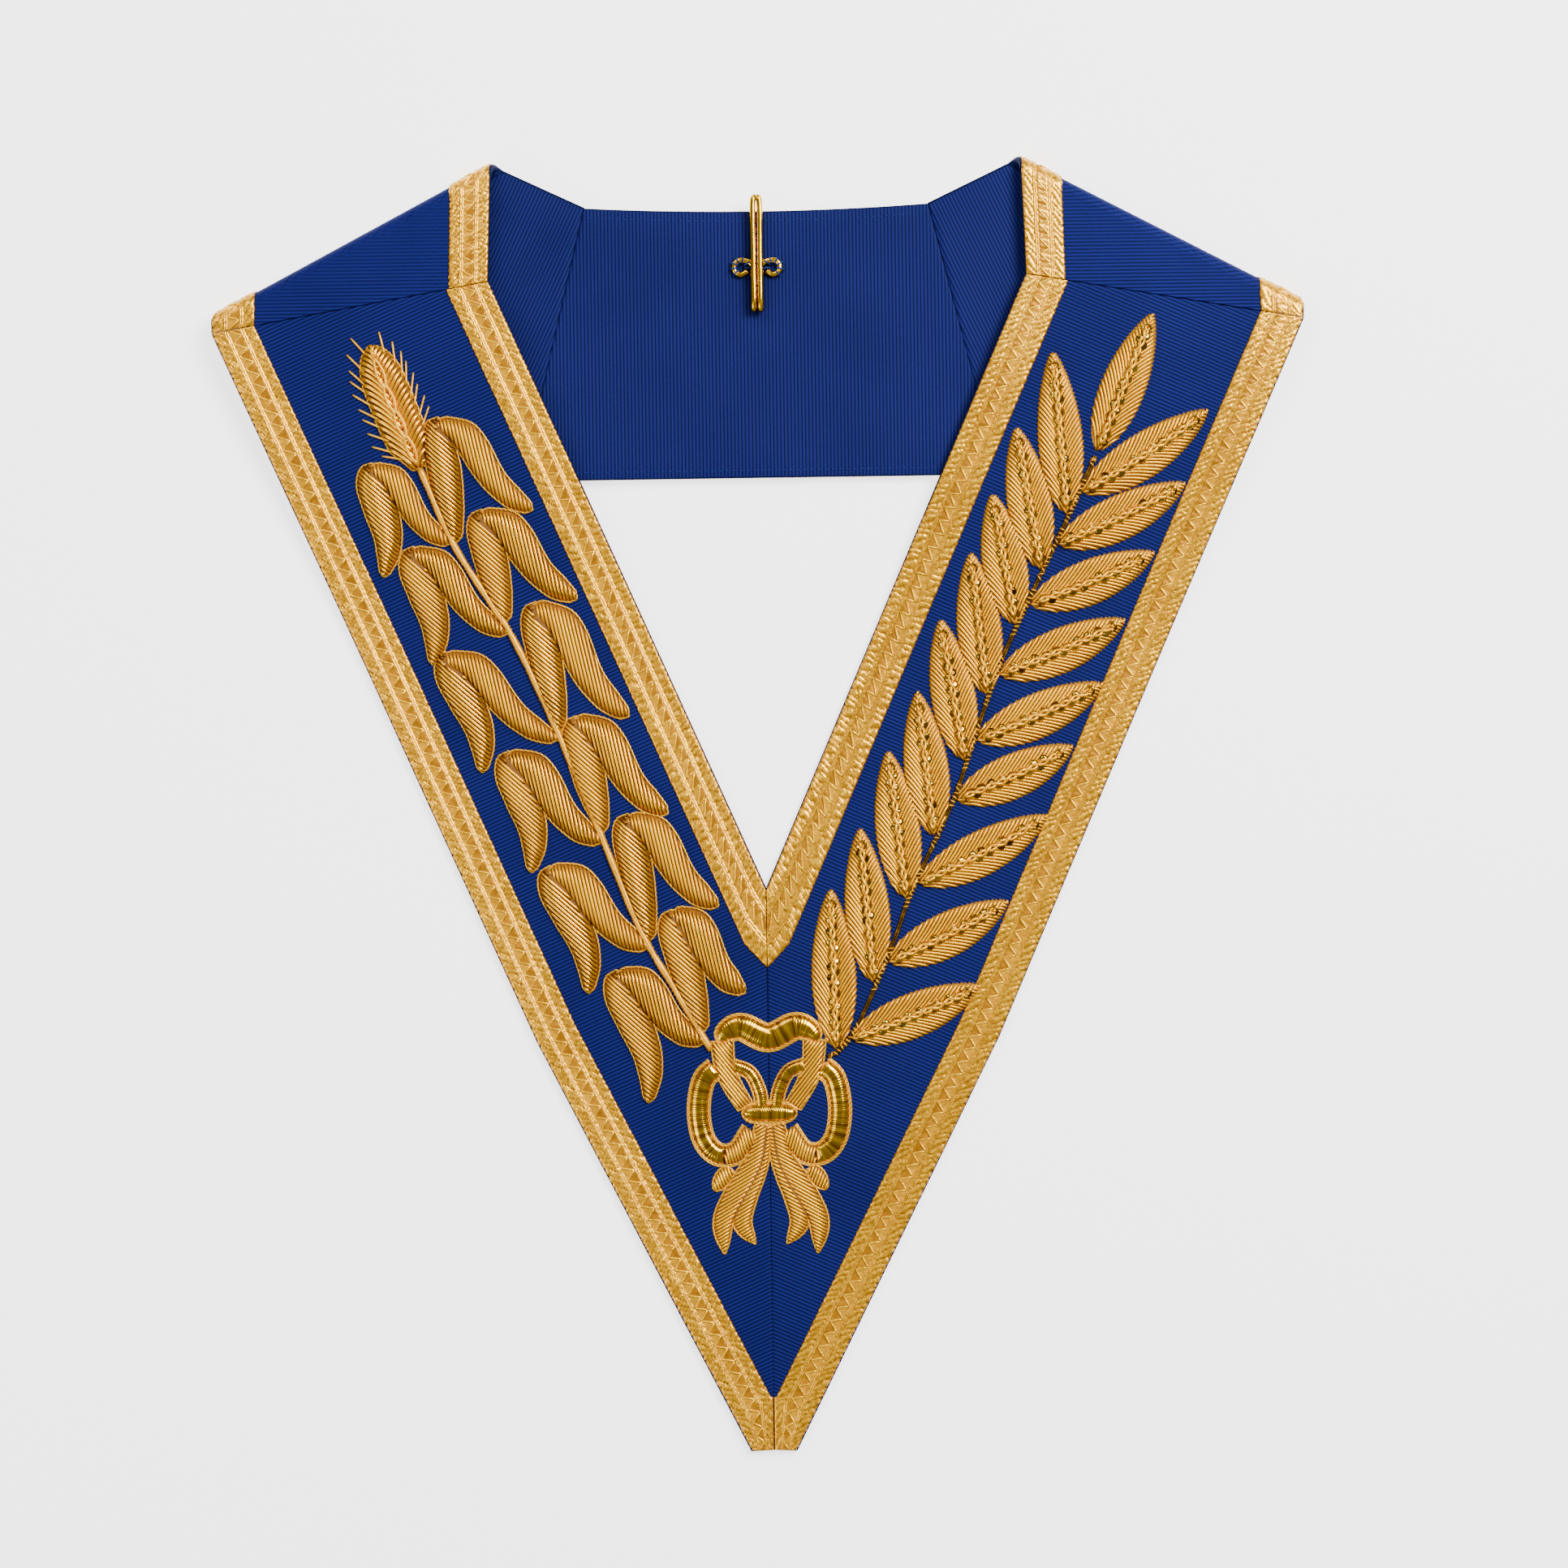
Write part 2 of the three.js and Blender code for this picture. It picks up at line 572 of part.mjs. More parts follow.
// Right branch: pointed leaves. The foot is a share of the band's length and the length of LEAF_LENGTH.
const ACACIA_STEM = [
  { along: 0.79, across: 0.495 },
  { along: 0.69, across: 0.491 },
  { along: 0.58, across: 0.48 },
  { along: 0.45, across: 0.472 },
  { along: 0.32, across: 0.493 },
  { along: 0.23, across: 0.508 },
  { along: 0.08, across: 0.497 },
  { along: 0, across: 0.508 },
  { along: -0.13, across: 0.506 },
  bowJoin({ across: 0.885, up: 0.849 }),
  bowJoin({ across: 0.737, up: 0.824 }),
];
const LEAVES = [
  { name: 'top', side: 0, foot: 0.798, angle: -1, length: 0.99 },
  { name: 'inner_1', side: -1, foot: 0.694, angle: 28, length: 1.09 },
  { name: 'outer_1', side: 1, foot: 0.733, angle: 34, length: 1.0 },
  { name: 'inner_2', side: -1, foot: 0.604, angle: 33, length: 0.96 },
  { name: 'outer_2', side: 1, foot: 0.648, angle: 41.5, length: 0.94 },
  { name: 'inner_3', side: -1, foot: 0.512, angle: 33, length: 0.89 },
  { name: 'outer_3', side: 1, foot: 0.549, angle: 44.5, length: 0.9 },
  { name: 'inner_4', side: -1, foot: 0.399, angle: 29.5, length: 0.96 },
  { name: 'outer_4', side: 1, foot: 0.434, angle: 43.5, length: 0.92 },
  { name: 'inner_5', side: -1, foot: 0.295, angle: 32.5, length: 0.96 },
  { name: 'outer_5', side: 1, foot: 0.33, angle: 43, length: 0.93 },
  { name: 'inner_6', side: -1, foot: 0.172, angle: 29.5, length: 0.98 },
  { name: 'outer_6', side: 1, foot: 0.236, angle: 42.5, length: 0.86 },
  { name: 'inner_7', side: -1, foot: 0.07, angle: 30, length: 1 },
  { name: 'outer_7', side: 1, foot: 0.098, angle: 39.5, length: 0.98 },
  { name: 'inner_8', side: -1, foot: -0.065, angle: 28, length: 1.04 },
  { name: 'outer_8', side: 1, foot: -0.028, angle: 40.5, length: 0.9 },
  { name: 'inner_9', side: -1, foot: -0.18, angle: 25, length: 1.08 },
  { name: 'outer_9', side: 1, foot: -0.156, angle: 45, length: 0.94 },
];

function makeLeaf({ side, foot, angle, length }) {
  const clearance = (side * (TWIG_WIDTH / 2 + SEAM_GAP + PAD_RIM)) / RIBBON_WIDTH;
  const start = onBand(1, foot, stemAcross(ACACIA_STEM, foot) + clearance);
  const turn = degrees(angle) * (side || 1);
  const direction = along.clone().multiplyScalar(Math.cos(turn)).addScaledVector(across, Math.sin(turn));
  const end = shifted(start, direction, length * LEAF_LENGTH);
  const bend = start.clone().lerp(end, 0.5).addScaledVector(across, side > 0 ? LEAF_BEND : 0);
  const path = new THREE.QuadraticBezierCurve(start, bend, end);
  return makePad(path, LEAF_WIDTH, LEAF_HEIGHT, leafProfile, RIDGE_SHARES);
}

function acaciaBranch() {
  return [
    platePiece('acacia_stem', makeStem(1, ACACIA_STEM, TWIG_WIDTH)),
    ...LEAVES.map((leaf) => purlPiece(`acacia_leaf_${leaf.name}`, makeLeaf(leaf))),
  ];
}

// Bow at the foot of both branches, right side
const BOW = {
  bar: {
    width: 10,
    stations: 13,
    stops: [
      { across: -0.63, up: 0.89 },
      { across: -0.52, up: 0.932 },
      { across: -0.33, up: 0.95 },
      { across: 0, up: 0.905 },
      { across: 0.33, up: 0.95 },
      { across: 0.52, up: 0.932 },
      { across: 0.63, up: 0.89 },
    ],
  },
  ribbon: {
    width: 8.6,
    stations: 6,
    stops: [
      { across: 0.55, up: 0.87 },
      { across: 0.55, up: 0.79 },
      { across: 0.46, up: 0.71 },
      { across: 0.3, up: 0.62 },
    ],
  },
  loop: {
    width: 8,
    stations: 11,
    stops: [
      { across: 0.66, up: 0.785 },
      { across: 0.82, up: 0.73 },
      { across: 0.885, up: 0.61 },
      { across: 0.83, up: 0.49 },
      { across: 0.66, up: 0.425 },
      { across: 0.42, up: 0.43 },
      { across: 0.22, up: 0.52 },
    ],
  },
  arc: {
    width: 4.8,
    stations: 6,
    stops: [
      { across: 0.36, up: 0.785 },
      { across: 0.22, up: 0.75 },
      { across: 0.12, up: 0.68 },
      { across: 0.09, up: 0.6 },
    ],
  },
  knot: {
    width: 8.2,
    stations: 7,
    stops: [
      { across: -0.34, up: 0.593 },
      { across: 0, up: 0.593 },
      { across: 0.34, up: 0.593 },
    ],
  },
  innerTail: {
    width: 8.2,
    stations: 8,
    stops: [
      { across: 0.06, up: 0.53 },
      { across: 0.13, up: 0.4 },
      { across: 0.3, up: 0.25 },
      { across: 0.36, up: 0.14 },
      { across: 0.2, up: 0.05 },
    ],
  },
  outerTail: {
    width: 8.2,
    stations: 8,
    stops: [
      { across: 0.1, up: 0.53 },
      { across: 0.2, up: 0.4 },
      { across: 0.46, up: 0.25 },
      { across: 0.6, up: 0.14 },
      { across: 0.585, up: 0.01 },
    ],
  },
  bud: {
    width: 6.6,
    stations: 6,
    stops: [
      { across: 0.5, up: 0.365 },
      { across: 0.59, up: 0.325 },
      { across: 0.68, up: 0.28 },
    ],
  },
};

function bowPath(side, part) {
  return new THREE.SplineCurve(part.stops.map((stop) => onBow(side, stop)));
}

function bowPad(side, part, height, profile = steadyProfile) {
  return makePad(bowPath(side, part), part.width, height, profile, DOME_SHARES, part.stations);
}

function bow() {
  const knot = joined([
    bowPad(1, BOW.knot, BOW_PLATE_HEIGHT, roundedProfile),
    bowPad(1, BOW.arc, BOW_PURL_HEIGHT),
    bowPad(-1, BOW.arc, BOW_PURL_HEIGHT),
  ]);
  const pieces = [
    platePiece('bow_knot', knot),
    platePiece('bow_top_bar', bowPad(1, BOW.bar, BOW_PLATE_HEIGHT, roundedProfile)),
  ];
  for (const [hand, side] of [['left', -1], ['right', 1]]) {
    const tail = joined([
      bowPad(side, BOW.innerTail, BOW_PURL_HEIGHT, tailProfile),
      bowPad(side, BOW.outerTail, BOW_PURL_HEIGHT, tailProfile),
    ]);
    pieces.push(
      purlPiece(`bow_ribbon_${hand}`, bowPad(side, BOW.ribbon, BOW_PURL_HEIGHT, ribbonProfile)),
      purlPiece(`bow_tail_${hand}`, tail),
      platePiece(`bow_loop_${hand}`, bowPad(side, BOW.loop, BOW_PLATE_HEIGHT)),
      purlPiece(`bow_bud_${hand}`, bowPad(side, BOW.bud, BOW_PURL_HEIGHT, roundedProfile)),
    );
  }
  return pieces;
}

// Hook: one wire from eye to eye, down to the bend, up over the neck edge and back
function hookPath() {
  const bottom = backInner.y - NECK_SAG + HOOK_OVERHANG - HOOK_LENGTH;
  const low = backLevel + CLOTH_THICKNESS / 2 + SEAM_GAP + HOOK_WIRE / 2;
  const high = low + 2 * HOOK_BEND_RADIUS;
  const wire = HOOK_SPACING / 2;
  const top = bottom + HOOK_LENGTH - HOOK_WIRE;
  const eye = { x: wire + HOOK_WIRE + HOOK_EYE_RADIUS, y: bottom + HOOK_EYE_RISE };
  const half = [];
  for (const angle of [-150, -90, -30, 30, 90].map(degrees)) {
    const x = eye.x + HOOK_EYE_RADIUS * Math.cos(angle);
    half.push(new THREE.Vector3(x, eye.y + HOOK_EYE_RADIUS * Math.sin(angle), low));
  }
  half.push(new THREE.Vector3(wire + HOOK_WIRE / 2, eye.y + HOOK_EYE_RADIUS / 2, low));
  half.push(new THREE.Vector3(wire, eye.y - HOOK_EYE_RADIUS, low));
  half.push(new THREE.Vector3(wire, bottom + HOOK_WIRE + HOOK_BEND_RADIUS, low));
  half.push(new THREE.Vector3(wire, bottom + HOOK_WIRE / 2, (low + high) / 2));
  half.push(new THREE.Vector3(wire, bottom + HOOK_WIRE + HOOK_BEND_RADIUS, high));
  half.push(new THREE.Vector3(wire, (bottom + top) / 2, high));
  half.push(new THREE.Vector3(wire, top - wire, high));
  const mirrored = half.map((stop) => new THREE.Vector3(-stop.x, stop.y, stop.z)).reverse();
  const peak = new THREE.Vector3(0, top + HOOK_WIRE / 2 - wire / 2, high);
  return new THREE.CatmullRomCurve3([...half, peak, ...mirrored]);
}

function wireSection() {
  const corners = [];
  for (let side = 0; side < WIRE_SIDES; side += 1) {
    const angle = (2 * Math.PI * side) / WIRE_SIDES;
    corners.push(point((HOOK_WIRE / 2) * Math.cos(angle), (HOOK_WIRE / 2) * Math.sin(angle)));
  }
  return new THREE.Shape(corners);
}

function backHook() {
  const options = { extrudePath: hookPath(), steps: WIRE_STEPS, bevelEnabled: false };
  const tube = new THREE.ExtrudeGeometry(wireSection(), options);
  tube.deleteAttribute('normal');
  tube.deleteAttribute('uv');
  return turnedOut(mergeVertices(tube, 1e-4));
}

const collar = new THREE.Group();

function add(name, geometry, material) {
  const mesh = new THREE.Mesh(geometry, material);
  mesh.name = name;
  collar.add(mesh);
}

function addPair(name, geometry, material) {
  add(`${name}_left`, mirrored(geometry), material);
  add(`${name}_right`, geometry, material);
}

const shoulder = shoulderRows();
const back = backRows();
const innerLace = frontInnerLaceRows();
const outerLace = frontOuterLaceRows();
addPair('front_band', sheetSolid(bandRows, clothStrips), paints.ribbon);
addPair('shoulder', sheetSolid(shoulder, clothStrips), paints.ribbon);
add('back_panel', sheetSolid(back, clothStrips), paints.lining);
addPair('lace_front_inner', sheetSolid(innerLace, laceStrips), paints.lace);
addPair('lace_front_outer', sheetSolid(outerLace, laceStrips), paints.lace);
addPair('lace_shoulder_inner', sheetSolid(edgeRows(shoulder, 'inner'), laceStrips), paints.lace);
addPair('lace_shoulder_outer', sheetSolid(edgeRows(shoulder, 'outer'), laceStrips), paints.lace);
add('lace_back_neck', sheetSolid(edgeRows(back, 'inner'), laceStrips), paints.lace);
add('lace_back_outer', sheetSolid(edgeRows(back, 'outer'), laceStrips), paints.lace);
add('back_hook', backHook(), paints.brass);
const laceRooms = [laceRoom(innerLace), laceRoom(outerLace)];
for (const piece of fitted([...bow(), ...wheatBranch(), ...acaciaBranch()], laceRooms)) {
  add(piece.name, piece.geometry, piece.material);
}

// The origin is the middle of the base of the whole collar.
const box = new THREE.Box3().setFromObject(collar);
const middle = box.getCenter(new THREE.Vector3());
collar.position.set(-middle.x, -middle.y, -box.min.z);

const part = new THREE.Group();
part.add(collar);

export default part;
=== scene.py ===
import math

import bpy
import numpy as np
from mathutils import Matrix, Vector


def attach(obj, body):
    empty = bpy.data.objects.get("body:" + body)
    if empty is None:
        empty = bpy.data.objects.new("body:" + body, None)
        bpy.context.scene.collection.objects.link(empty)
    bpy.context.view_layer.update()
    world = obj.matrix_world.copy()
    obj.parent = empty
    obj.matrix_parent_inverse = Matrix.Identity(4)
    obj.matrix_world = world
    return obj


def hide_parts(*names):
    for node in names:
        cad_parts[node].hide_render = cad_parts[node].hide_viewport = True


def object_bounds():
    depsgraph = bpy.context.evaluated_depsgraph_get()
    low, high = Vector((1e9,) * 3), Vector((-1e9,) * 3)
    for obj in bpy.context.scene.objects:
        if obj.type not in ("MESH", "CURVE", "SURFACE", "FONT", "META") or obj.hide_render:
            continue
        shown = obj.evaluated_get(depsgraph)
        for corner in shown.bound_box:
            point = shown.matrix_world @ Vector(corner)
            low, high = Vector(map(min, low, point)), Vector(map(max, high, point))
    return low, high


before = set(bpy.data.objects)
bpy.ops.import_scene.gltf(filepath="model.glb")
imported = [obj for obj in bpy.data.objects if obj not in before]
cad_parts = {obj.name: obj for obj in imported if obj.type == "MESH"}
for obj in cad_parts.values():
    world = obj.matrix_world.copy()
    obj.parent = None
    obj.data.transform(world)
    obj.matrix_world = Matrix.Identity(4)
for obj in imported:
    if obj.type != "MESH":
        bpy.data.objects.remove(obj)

# Lengths are millimetres in a plan whose origin is the tip of the V, +Y up to the neck edge, as the
# collar's own source has them. Meshes are moved to the frame's metres when they are made.
CAD_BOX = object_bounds()
TIP_Y = CAD_BOX[0][1] * 1000
RANDOM = np.random.default_rng(11)

RIBBON_WIDTH = 101.6
CLOTH_THICKNESS = 2.0
HALF_CLOTH = CLOTH_THICKNESS / 2
LACE_WIDTH = 16.2
SEAM_GAP = 0.3
NOTCH_HEIGHT = 210.5
KNEE_HEIGHT = 154.3
TIP_HALF_WIDTH = 8.2
BAND_LENGTH = 250.0
BAND_LEAN = math.radians(23.7)
SEAM_SLANT = math.radians(13.9)
LACE_POINT_DROP = 30.0
LACE_POINT_REACH = 28.0
SHOULDER_RISE_INNER = 44.0
SHOULDER_RISE_OUTER = 7.0
SHOULDER_TURN = math.radians(1.8)
FOLD_RADIUS = 3.0
NECK_EDGE_LENGTH = 38.4
NECK_EDGE_SLOPE = math.radians(25.3)
BACK_SEAM_SLANT = math.radians(13.8)
NECK_SAG = 2.0
FRONT_RAMP_LENGTH = 75.0
LACE_STACK = 1.4
STEM_WIDTH = 2.1
TWIG_WIDTH = 1.5
LEAF_LENGTH = 56.0
LEAF_WIDTH = 17.0
LEAF_BEND = 3.0
EAR_WIDTH = 18.0
BOW_WIDTH = 60.0
BOW_HEIGHT = 90.5
BOW_DROP = 47.0
HOOK_WIRE = 2.0
HOOK_LENGTH = 44.0
HOOK_OVERHANG = 6.0
HOOK_SPACING = 2.5
HOOK_BEND_RADIUS = 1.6
HOOK_EYE_RADIUS = 2.7
HOOK_EYE_RISE = 17.0

RIB_PITCH = 1.33
RIB_RISE = 0.24
RIB_STEP = RIB_PITCH / 4
# Share of a rib, at each end, where it falls to the edge of the cloth, and its height there
HEM_SHARE = 0.006
HEM_HEIGHT = 0.3
# How far ribs reach past the cloth's edges: a share of a row at the shoulder, millimetres elsewhere
SHOULDER_HEM = 0.0045
FRONT_HEM = 0.45
BACK_HEM = 0.2


def plan(x, y):
    return np.array([x, y], float)


def lerp(a, b, share):
    return a + (b - a) * share


def unit(v):
    return v / np.linalg.norm(v)


def left_of(direction):
    return plan(-direction[1], direction[0])


def pointing(angle):
    return plan(math.cos(angle), math.sin(angle))


def crossing(p, d, q, e):
    distance = ((q[0] - p[0]) * e[1] - (q[1] - p[1]) * e[0]) / (d[0] * e[1] - d[1] * e[0])
    return p + d * distance


ALONG = plan(math.sin(BAND_LEAN), math.cos(BAND_LEAN))
ACROSS = plan(math.cos(BAND_LEAN), -math.sin(BAND_LEAN))
NOTCH = plan(SEAM_GAP / 2, NOTCH_HEIGHT)
OUTER_NOTCH = NOTCH + ACROSS * RIBBON_WIDTH
TIP_INNER = plan(SEAM_GAP / 2, 0)
CENTRE_FOOT = plan(0, 0)
TIP_OUTER = plan(TIP_HALF_WIDTH, 0)
KNEE = crossing(OUTER_NOTCH, ALONG, plan(0, KNEE_HEIGHT), plan(1, 0))
SEAM_INNER = NOTCH + ALONG * BAND_LENGTH
SEAM_OUTER = OUTER_NOTCH + ALONG * (BAND_LENGTH + RIBBON_WIDTH * math.tan(SEAM_SLANT))
SHOULDER_ALONG = plan(-math.sin(SHOULDER_TURN), math.cos(SHOULDER_TURN))
FOLD_INNER = SEAM_INNER + SHOULDER_ALONG * SHOULDER_RISE_INNER
FOLD_OUTER = SEAM_OUTER + SHOULDER_ALONG * SHOULDER_RISE_OUTER
FOLD_LINE = unit(FOLD_OUTER - FOLD_INNER)
FOLD_OUTWARD = left_of(FOLD_LINE)
NECK_LINE = plan(-math.cos(NECK_EDGE_SLOPE), -math.sin(NECK_EDGE_SLOPE))
BACK_INNER = FOLD_INNER + NECK_LINE * NECK_EDGE_LENGTH
BACK_SEAM_LINE = plan(math.sin(BACK_SEAM_SLANT), -math.cos(BACK_SEAM_SLANT))
BACK_OUTER = BACK_INNER + BACK_SEAM_LINE * RIBBON_WIDTH / math.cos(BACK_SEAM_SLANT)

BACK_LEVEL = LACE_STACK + HALF_CLOTH
SHOULDER_LEVEL = BACK_LEVEL + 2 * FOLD_RADIUS
RAMP_TOP = SEAM_OUTER[1]
RAMP_FOOT = BACK_OUTER[1] - FRONT_RAMP_LENGTH
BAND_SEAM_INNER = SEAM_INNER - ALONG * SEAM_GAP / 2
BAND_SEAM_OUTER = SEAM_OUTER - ALONG * SEAM_GAP / 2


def front_level(y):
    """Height of the middle of a front band's cloth."""
    share = np.clip((np.asarray(y) - RAMP_FOOT) / (RAMP_TOP - RAMP_FOOT), 0, 1)
    share = share * share * (3 - 2 * share)
    return HALF_CLOTH + (SHOULDER_LEVEL - HALF_CLOTH) * share


def face_level(points):
    """Height of a front band's face under points in plan."""
    return front_level(points[..., 1]) + HALF_CLOTH


# Lines in plan and in space

def lengths(rows):
    return np.linalg.norm(rows, axis=1)


def distances(points):
    """How far along a line each of its points is."""
    return np.concatenate([[0], np.cumsum(lengths(np.diff(points, axis=0)))])


def length_of(points):
    return float(lengths(np.diff(points, axis=0)).sum())


def evenly(points, count):
    distance = distances(points)
    wanted = np.linspace(0, distance[-1], count)
    return np.stack([np.interp(wanted, distance, points[:, axis]) for axis in range(points.shape[1])], axis=1)


def spline(stops, count):
    """Points spread evenly along a smooth curve through the stops."""
    stops = np.asarray(stops, float)
    ends = np.vstack([2 * stops[0] - stops[1], stops, 2 * stops[-1] - stops[-2]])
    t = np.linspace(0, 1, 16, endpoint=False)[:, None]
    points = []
    for leg in range(len(stops) - 1):
        a, b, c, d = ends[leg:leg + 4]
        square = (2 * a - 5 * b + 4 * c - d) * t**2
        cube = (3 * b - a - 3 * c + d) * t**3
        points.append(0.5 * (2 * b + (c - a) * t + square + cube))
    return evenly(np.vstack(points + [stops[-1:]]), count)


def mirror(points, side):
    points = np.array(points, float)
    points[..., 0] *= side
    return points


def turned_from(path):
    """Unit tangents of a path in plan, and their left-hand normals."""
    tangents = np.gradient(path, axis=0)
    tangents /= lengths(tangents)[:, None]
    return tangents, np.stack([-tangents[:, 1], tangents[:, 0]], axis=1)


def edges_of(path, half):
    """Left and right edges of a band along a path in plan."""
    sides = turned_from(path)[1]
    return path + sides * half[:, None], path - sides * half[:, None]


def enclose(left, right):
    return np.vstack([left, right[::-1]])


def widths(path, half_width, profile):
    return half_width * np.array([profile(t) for t in np.linspace(0, 1, len(path))])


def outline_of(path, half_width, profile):
    return enclose(*edges_of(path, widths(path, half_width, profile)))


def on_surface(points, height):
    return np.column_stack([points, height])


# Materials

def set_sockets(node, values):
    for socket, value in values.items():
        node.inputs[socket].default_value = value


class Look:
    """A material that is being made."""

    def __init__(self, name):
        self.material = bpy.data.materials.new(name)
        self.material.use_nodes = True
        self.tree = self.material.node_tree
        self.shader = self.tree.nodes["Principled BSDF"]

    def link(self, node, sources):
        for socket, source in sources.items():
            self.tree.links.new(source, node.inputs[socket])

    def node(self, kind, values, sources, **settings):
        """A node with values and links on its sockets, and settings of its own."""
        node = self.tree.nodes.new("ShaderNode" + kind)
        for name, value in settings.items():
            setattr(node, name, value)
        set_sockets(node, values)
        self.link(node, sources)
        return node

    def attribute(self, name):
        return self.node("Attribute", {}, {}, attribute_name=name).outputs["Fac"]

    def noise(self, scale):
        place = self.node("TexCoord", {}, {}).outputs["Object"]
        values = {"Scale": scale, "Detail": 2.0, "Roughness": 0.6}
        return self.node("TexNoise", values, {"Vector": place}).outputs["Fac"]

    def ramp(self, factor, stops):
        node = self.node("ValToRGB", {}, {"Fac": factor})
        elements = node.color_ramp.elements
        while len(elements) < len(stops):
            elements.new(0.5)
        for element, (position, color) in zip(elements, stops):
            element.position = position
            element.color = (*color, 1)
        return node.outputs["Color"]

    def multiply(self, share, first, second):
        colors = {6: first, 7: second}
        return self.node("Mix", {0: share}, colors, data_type="RGBA", blend_type="MULTIPLY").outputs[2]

    def bump(self, height, strength, distance, **sources):
        sources = {"Height": height, **sources}
        return self.node("Bump", {"Strength": strength, "Distance": distance}, sources).outputs["Normal"]

    def vary_roughness(self, value, low, high):
        spread = self.node("MapRange", {"To Min": low, "To Max": high}, {"Value": value})
        self.link(self.shader, {"Roughness": spread.outputs["Result"]})

    def relief(self, stops, layers, bump):
        """Colour by height, as painted shade low down and a painted highlight on top, times layers of noise
        with tints and a share. The first also gives the bump.
        """
        color = self.ramp(self.attribute("crown"), stops)
        noises = [self.noise(scale) for scale, _, _ in layers]
        for noise, (_, tints, share) in zip(noises, layers):
            color = self.multiply(share, color, self.ramp(noise, tints))
        self.link(self.shader, {"Base Color": color, "Normal": self.bump(noises[0], *bump)})
        return noises[0]


def ribbon_material(name, groove_shade, crown, light):
    """Ribbed cloth: colour by the height of the rib, as painted shade in its grooves and a painted highlight
    on its top, with fine warp threads and slow shading.
    """
    look = Look(name)
    warp = (2600.0, [(0.3, (0.62, 0.62, 0.66)), (0.75, (1.25, 1.25, 1.2))], 0.6)
    shading = (22.0, [(0.35, (0.84, 0.85, 0.9)), (0.65, (1.08, 1.07, 1.04))], 1.0)
    look.relief([(0.0, groove_shade), (0.55, crown), (1.0, light)], (warp, shading), (0.25, 0.0001))
    set_sockets(look.shader, {
        "Roughness": 0.6, "Specular IOR Level": 0.1, "Specular Tint": (0.55, 0.7, 1.0, 1),
        "Sheen Weight": 0.05, "Sheen Roughness": 0.4, "Sheen Tint": (0.15, 0.3, 1.0, 1),
    })
    return look.material


def metal_material(name, tones, roughness, metallic, grain, relief, dimmest):
    """Gold thread or wire: colour by depth, as painted shade in hollows and a painted highlight on tops, and
    by noise, with a grain that breaks up its gloss.
    """
    look = Look(name)
    thread = (grain, [(0.38, (dimmest, dimmest, dimmest)), (0.62, (1.1, 1.1, 1.1))], 1.0)
    # A slow noise that dims the gold a little in broad patches.
    slow_mottle = (60.0, [(0.35, (0.9, 0.86, 0.8)), (0.65, (1.05, 1.05, 1.05))], 0.8)
    fine = look.relief(list(zip((0.0, 0.5, 1.0), tones)), (thread, slow_mottle), (relief, 0.0002))
    look.vary_roughness(fine, roughness * 0.8, min(1.0, roughness * 1.25))
    set_sockets(look.shader, {"Metallic": metallic})
    return look.material


def plate_material(name, dark, light, roughness):
    """Bright flattened wire, crimped at right angles to its run, with painted reflections in dark and light
    streaks the same way.
    """
    look = Look(name)
    run = look.attribute("run")
    values = {"Scale": 0.07, "Detail": 3.0, "Roughness": 0.6}
    reflection_streak = look.node("TexNoise", values, {"W": run}, noise_dimensions="1D").outputs["Fac"]
    wave = look.node("Math", {}, {0: run}, operation="SINE").outputs[0]
    slow = look.noise(180.0)
    crimp = look.bump(wave, 0.22, 0.0001)
    color = look.ramp(reflection_streak, [(0.36, dark), (0.64, light)])
    look.link(look.shader, {"Base Color": color, "Normal": look.bump(slow, 0.3, 0.0006, Normal=crimp)})
    look.vary_roughness(slow, roughness * 0.7, roughness * 1.4)
    set_sockets(look.shader, {"Metallic": 1.0})
    return look.material


# Each cloth's darkest colour is painted shade in the hollows between ribs, and its lightest is a painted
# highlight on the rib tops.
RIBBON = ribbon_material(
    "royal_ribbon", groove_shade=(0.0001, 0.0001, 0.003), crown=(0.0017, 0.0026, 0.055),
    light=(0.0075, 0.0108, 0.125))
LINING = ribbon_material(
    "royal_lining", groove_shade=(0.0001, 0.0001, 0.003), crown=(0.002, 0.003, 0.052), light=(0.01, 0.012, 0.112))
THREAD = ribbon_material(
    "blue_thread", groove_shade=(0.001, 0.002, 0.02), crown=(0.006, 0.012, 0.11), light=(0.02, 0.04, 0.2))
# The tones of the gold lace, foil, purls and cord run from painted shade in hollows, through the gold's own
# colour, to a painted highlight on tops.
LACE = metal_material(
    "gold_lace", [(0.24, 0.08, 0.0003), (1.0, 0.46, 0.0005), (1.25, 0.7, 0.006)],
    roughness=0.26, metallic=0.65, grain=800.0, relief=1.0, dimmest=0.62)
FOIL = metal_material(
    "gold_foil", [(0.36, 0.13, 0.0003), (0.9, 0.38, 0.0005), (1.1, 0.6, 0.003)],
    roughness=0.22, metallic=0.5, grain=600.0, relief=0.5, dimmest=0.75)
PURL = metal_material(
    "bright_purl", [(0.2, 0.07, 0.0003), (0.92, 0.42, 0.0005), (1.08, 0.56, 0.001)],
    roughness=0.2, metallic=0.82, grain=2400.0, relief=0.1, dimmest=0.85)
ROUGH_PURL = metal_material(
    "rough_purl", [(0.22, 0.078, 0.0003), (0.92, 0.41, 0.0005), (1.12, 0.58, 0.001)],
    roughness=0.38, metallic=0.75, grain=2600.0, relief=0.4, dimmest=0.75)
